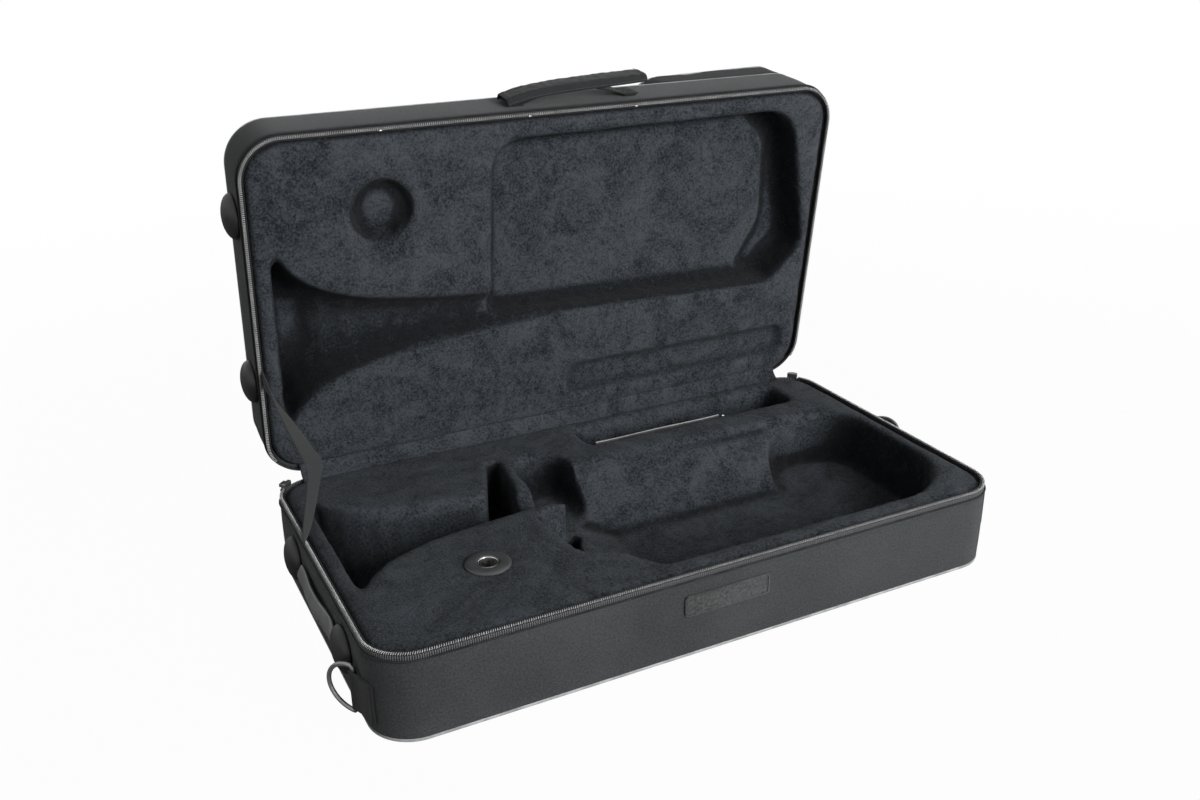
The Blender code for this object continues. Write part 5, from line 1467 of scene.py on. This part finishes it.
# %% Stir the pocket's cloth
mesh = panel.data
bm = bmesh.new()
bm.from_mesh(mesh)
for vert in bm.verts:
    vert.co += vert.normal * (0.0008 * noise.noise(vert.co * 30.0)
                              + 0.0004 * noise.noise(vert.co * 90.0))
cloth_map(bm, pocket)
bmesh.ops.transform(bm, matrix=LID_TURN, verts=bm.verts)
bm.to_mesh(mesh)
bm.free()
mesh.shade_smooth()
mesh.materials.clear()
mesh.materials.append(pocket_nylon)
print("pocket polygons", len(mesh.polygons))

# %% [markdown]
# The piping is laid flat round the pocket's outline first, for its map, and then lifted to
# the face's edge and swelled as the panel was.

# %% The pocket's piping
bm = tube(outline_points(pocket, PIPING_INSET, 0.0)[:-1], PIPING_RADIUS, closed=True, sides=3)
cord_map(bm, pocket, PIPING_INSET, 0.0, PIPING_RADIUS)
bmesh.ops.translate(bm, vec=UP * (POCKET_GROUND + POCKET_HEIGHT - PIPING_RISE), verts=bm.verts)
piece(swelled(bm), "pocket_piping_cord", "lid", piping_cloth, "piping", "pocket_piping")

# %% [markdown]
# The pocket's zip runs along its right side, from the front to the back. It is a smaller
# coil of the same kind, and its slider and pull are the frame's own, in nickel.

# %% Pocket zip
POCKET_PITCH = 0.0016
POCKET_WIRE = 0.00030
zip_front = POCKET_FRONT + POCKET_RADIUS
zip_back = zip_front + POCKET_DEPTH - 2 * POCKET_RADIUS
zip_level = POCKET_GROUND + POCKET_HEIGHT * 0.48
tape_x = POCKET_RIGHT + FIT + 0.0004
path = [Vector((tape_x, zip_front + (zip_back - zip_front) * step / 40, zip_level))
        for step in range(41)]
strap("pocket_tape_cloth", "lid", tape_cloth, "tape", path, UP, 0.009, 0.0008, "pocket_zip_tape",
      cells=4, edge=0.0002)
turns = round((zip_back - zip_front) / POCKET_PITCH)
helix = []
for step in range(turns * COIL_STEPS + 1):
    angle = math.tau * step / COIL_STEPS
    helix.append(Vector((tape_x + 0.0004 + FIT + 0.0006 + POCKET_WIRE * math.cos(angle),
                         zip_front + POCKET_PITCH * step / COIL_STEPS,
                         zip_level + 0.0010 * math.sin(angle))))
piece(tube(helix, POCKET_WIRE, sides=0), "pocket_coil", "lid", coil, "coil", "pocket_zip_teeth")
print("pocket coil turns", turns)

# %% [markdown]
# ## The frame's own small parts
# Sliders, pulls and the slot's hook are small hard parts whose shapes are already right. They
# stay: those of the main zip are given a darker nickel, the pocket's and the hook a brighter one.

# %% Finish the parts that stay
for name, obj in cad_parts.items():
    if not obj.hide_render:
        obj.data.materials.clear()
        obj.data.materials.append(dark_nickel if "zip" in name else nickel)
        print("stays:", name)

# %% [markdown]
# ## Floor, light and background
# The case stands on a plain pale floor under one soft light from the front right, with
# weaker ones at each side and behind. The background is white to the camera and in what
# shines or is seen through, and the floor is brightened for the camera alone, so that no
# extra light falls on the case. Away from the case the floor fades into the background.

# %% Floor
bm = bmesh.new()
bmesh.ops.create_grid(bm, x_segments=1, y_segments=1, size=40.0)
mesh = bpy.data.meshes.new("floor")
bm.to_mesh(mesh)
bm.free()
floor = bpy.data.objects.new("floor", mesh)
scene.collection.objects.link(floor)
floor_paint, wire = finish("floor", Roughness=0.9, Base_Color=(0.42, 0.42, 0.42, 1.0))
seen = wire.node("ShaderNodeLightPath", {}, {}, 0)
glow = wire.node("ShaderNodeEmission", {}, {"Color": (1.0, 1.0, 1.0, 1.0), "Strength": 1.0})
shader = floor_paint.node_tree.nodes["Principled BSDF"]
away = wire.node("ShaderNodeVectorMath", {"operation": "LENGTH"}, {0: object_place(wire)}, 1)
faded = seen * (away.between(0.7, 2.2) * 0.025 + 0.975)
own = Wire(wire.tree, shader.outputs[0])
blend = wire.node("ShaderNodeMixShader", {}, {0: faded, 1: own, 2: glow})
wire.tree.links.new(blend.socket, wire.tree.nodes["Material Output"].inputs["Surface"])
mesh.materials.append(floor_paint)
floor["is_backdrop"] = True

# %% World and lights
world = bpy.data.worlds.new("studio")
scene.world = world
world.use_nodes = True
sky = Wire(world.node_tree)
seen = sky.node("ShaderNodeLightPath", {}, {}, 0)
white = seen.maths("MAXIMUM", seen, seen.other("Is Glossy Ray"))
white = seen.maths("MAXIMUM", white, seen.other("Is Transmission Ray"))
strength = white * 0.89 + 0.11
background = world.node_tree.nodes["Background"]
background.inputs["Color"].default_value = (1.0, 1.0, 1.0, 1.0)
world.node_tree.links.new(strength.socket, background.inputs["Strength"])


LIT_POINT = Vector((0.0, 0.0, 0.1))


def soft_light(name, place, size, power):
    """A broad square lamp that faces the case."""
    data = bpy.data.lights.new(name, "AREA")
    data.shape = "SQUARE"
    data.size = size
    data.energy = power
    lamp = bpy.data.objects.new(name, data)
    scene.collection.objects.link(lamp)
    way = LIT_POINT - Vector(place)
    lamp.matrix_world = (Matrix.Translation(place)
                         @ way.to_track_quat("-Z", "Y").to_matrix().to_4x4())


soft_light("key", (0.7, -2.0, 0.90), 1.1, 36.0)
soft_light("left fill", (-2.6, -0.6, 1.2), 1.8, 3.0)
soft_light("right fill", (2.2, -1.6, 1.3), 1.8, 17.0)
soft_light("back fill", (0.8, 3.0, 0.6), 1.8, 14.0)
scene.view_settings.view_transform = "Standard"

# %% [markdown]
# ## Measure and finish
# The box round every shown piece, the floor left out, is measured at the end.

# %% Finish
low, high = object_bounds()
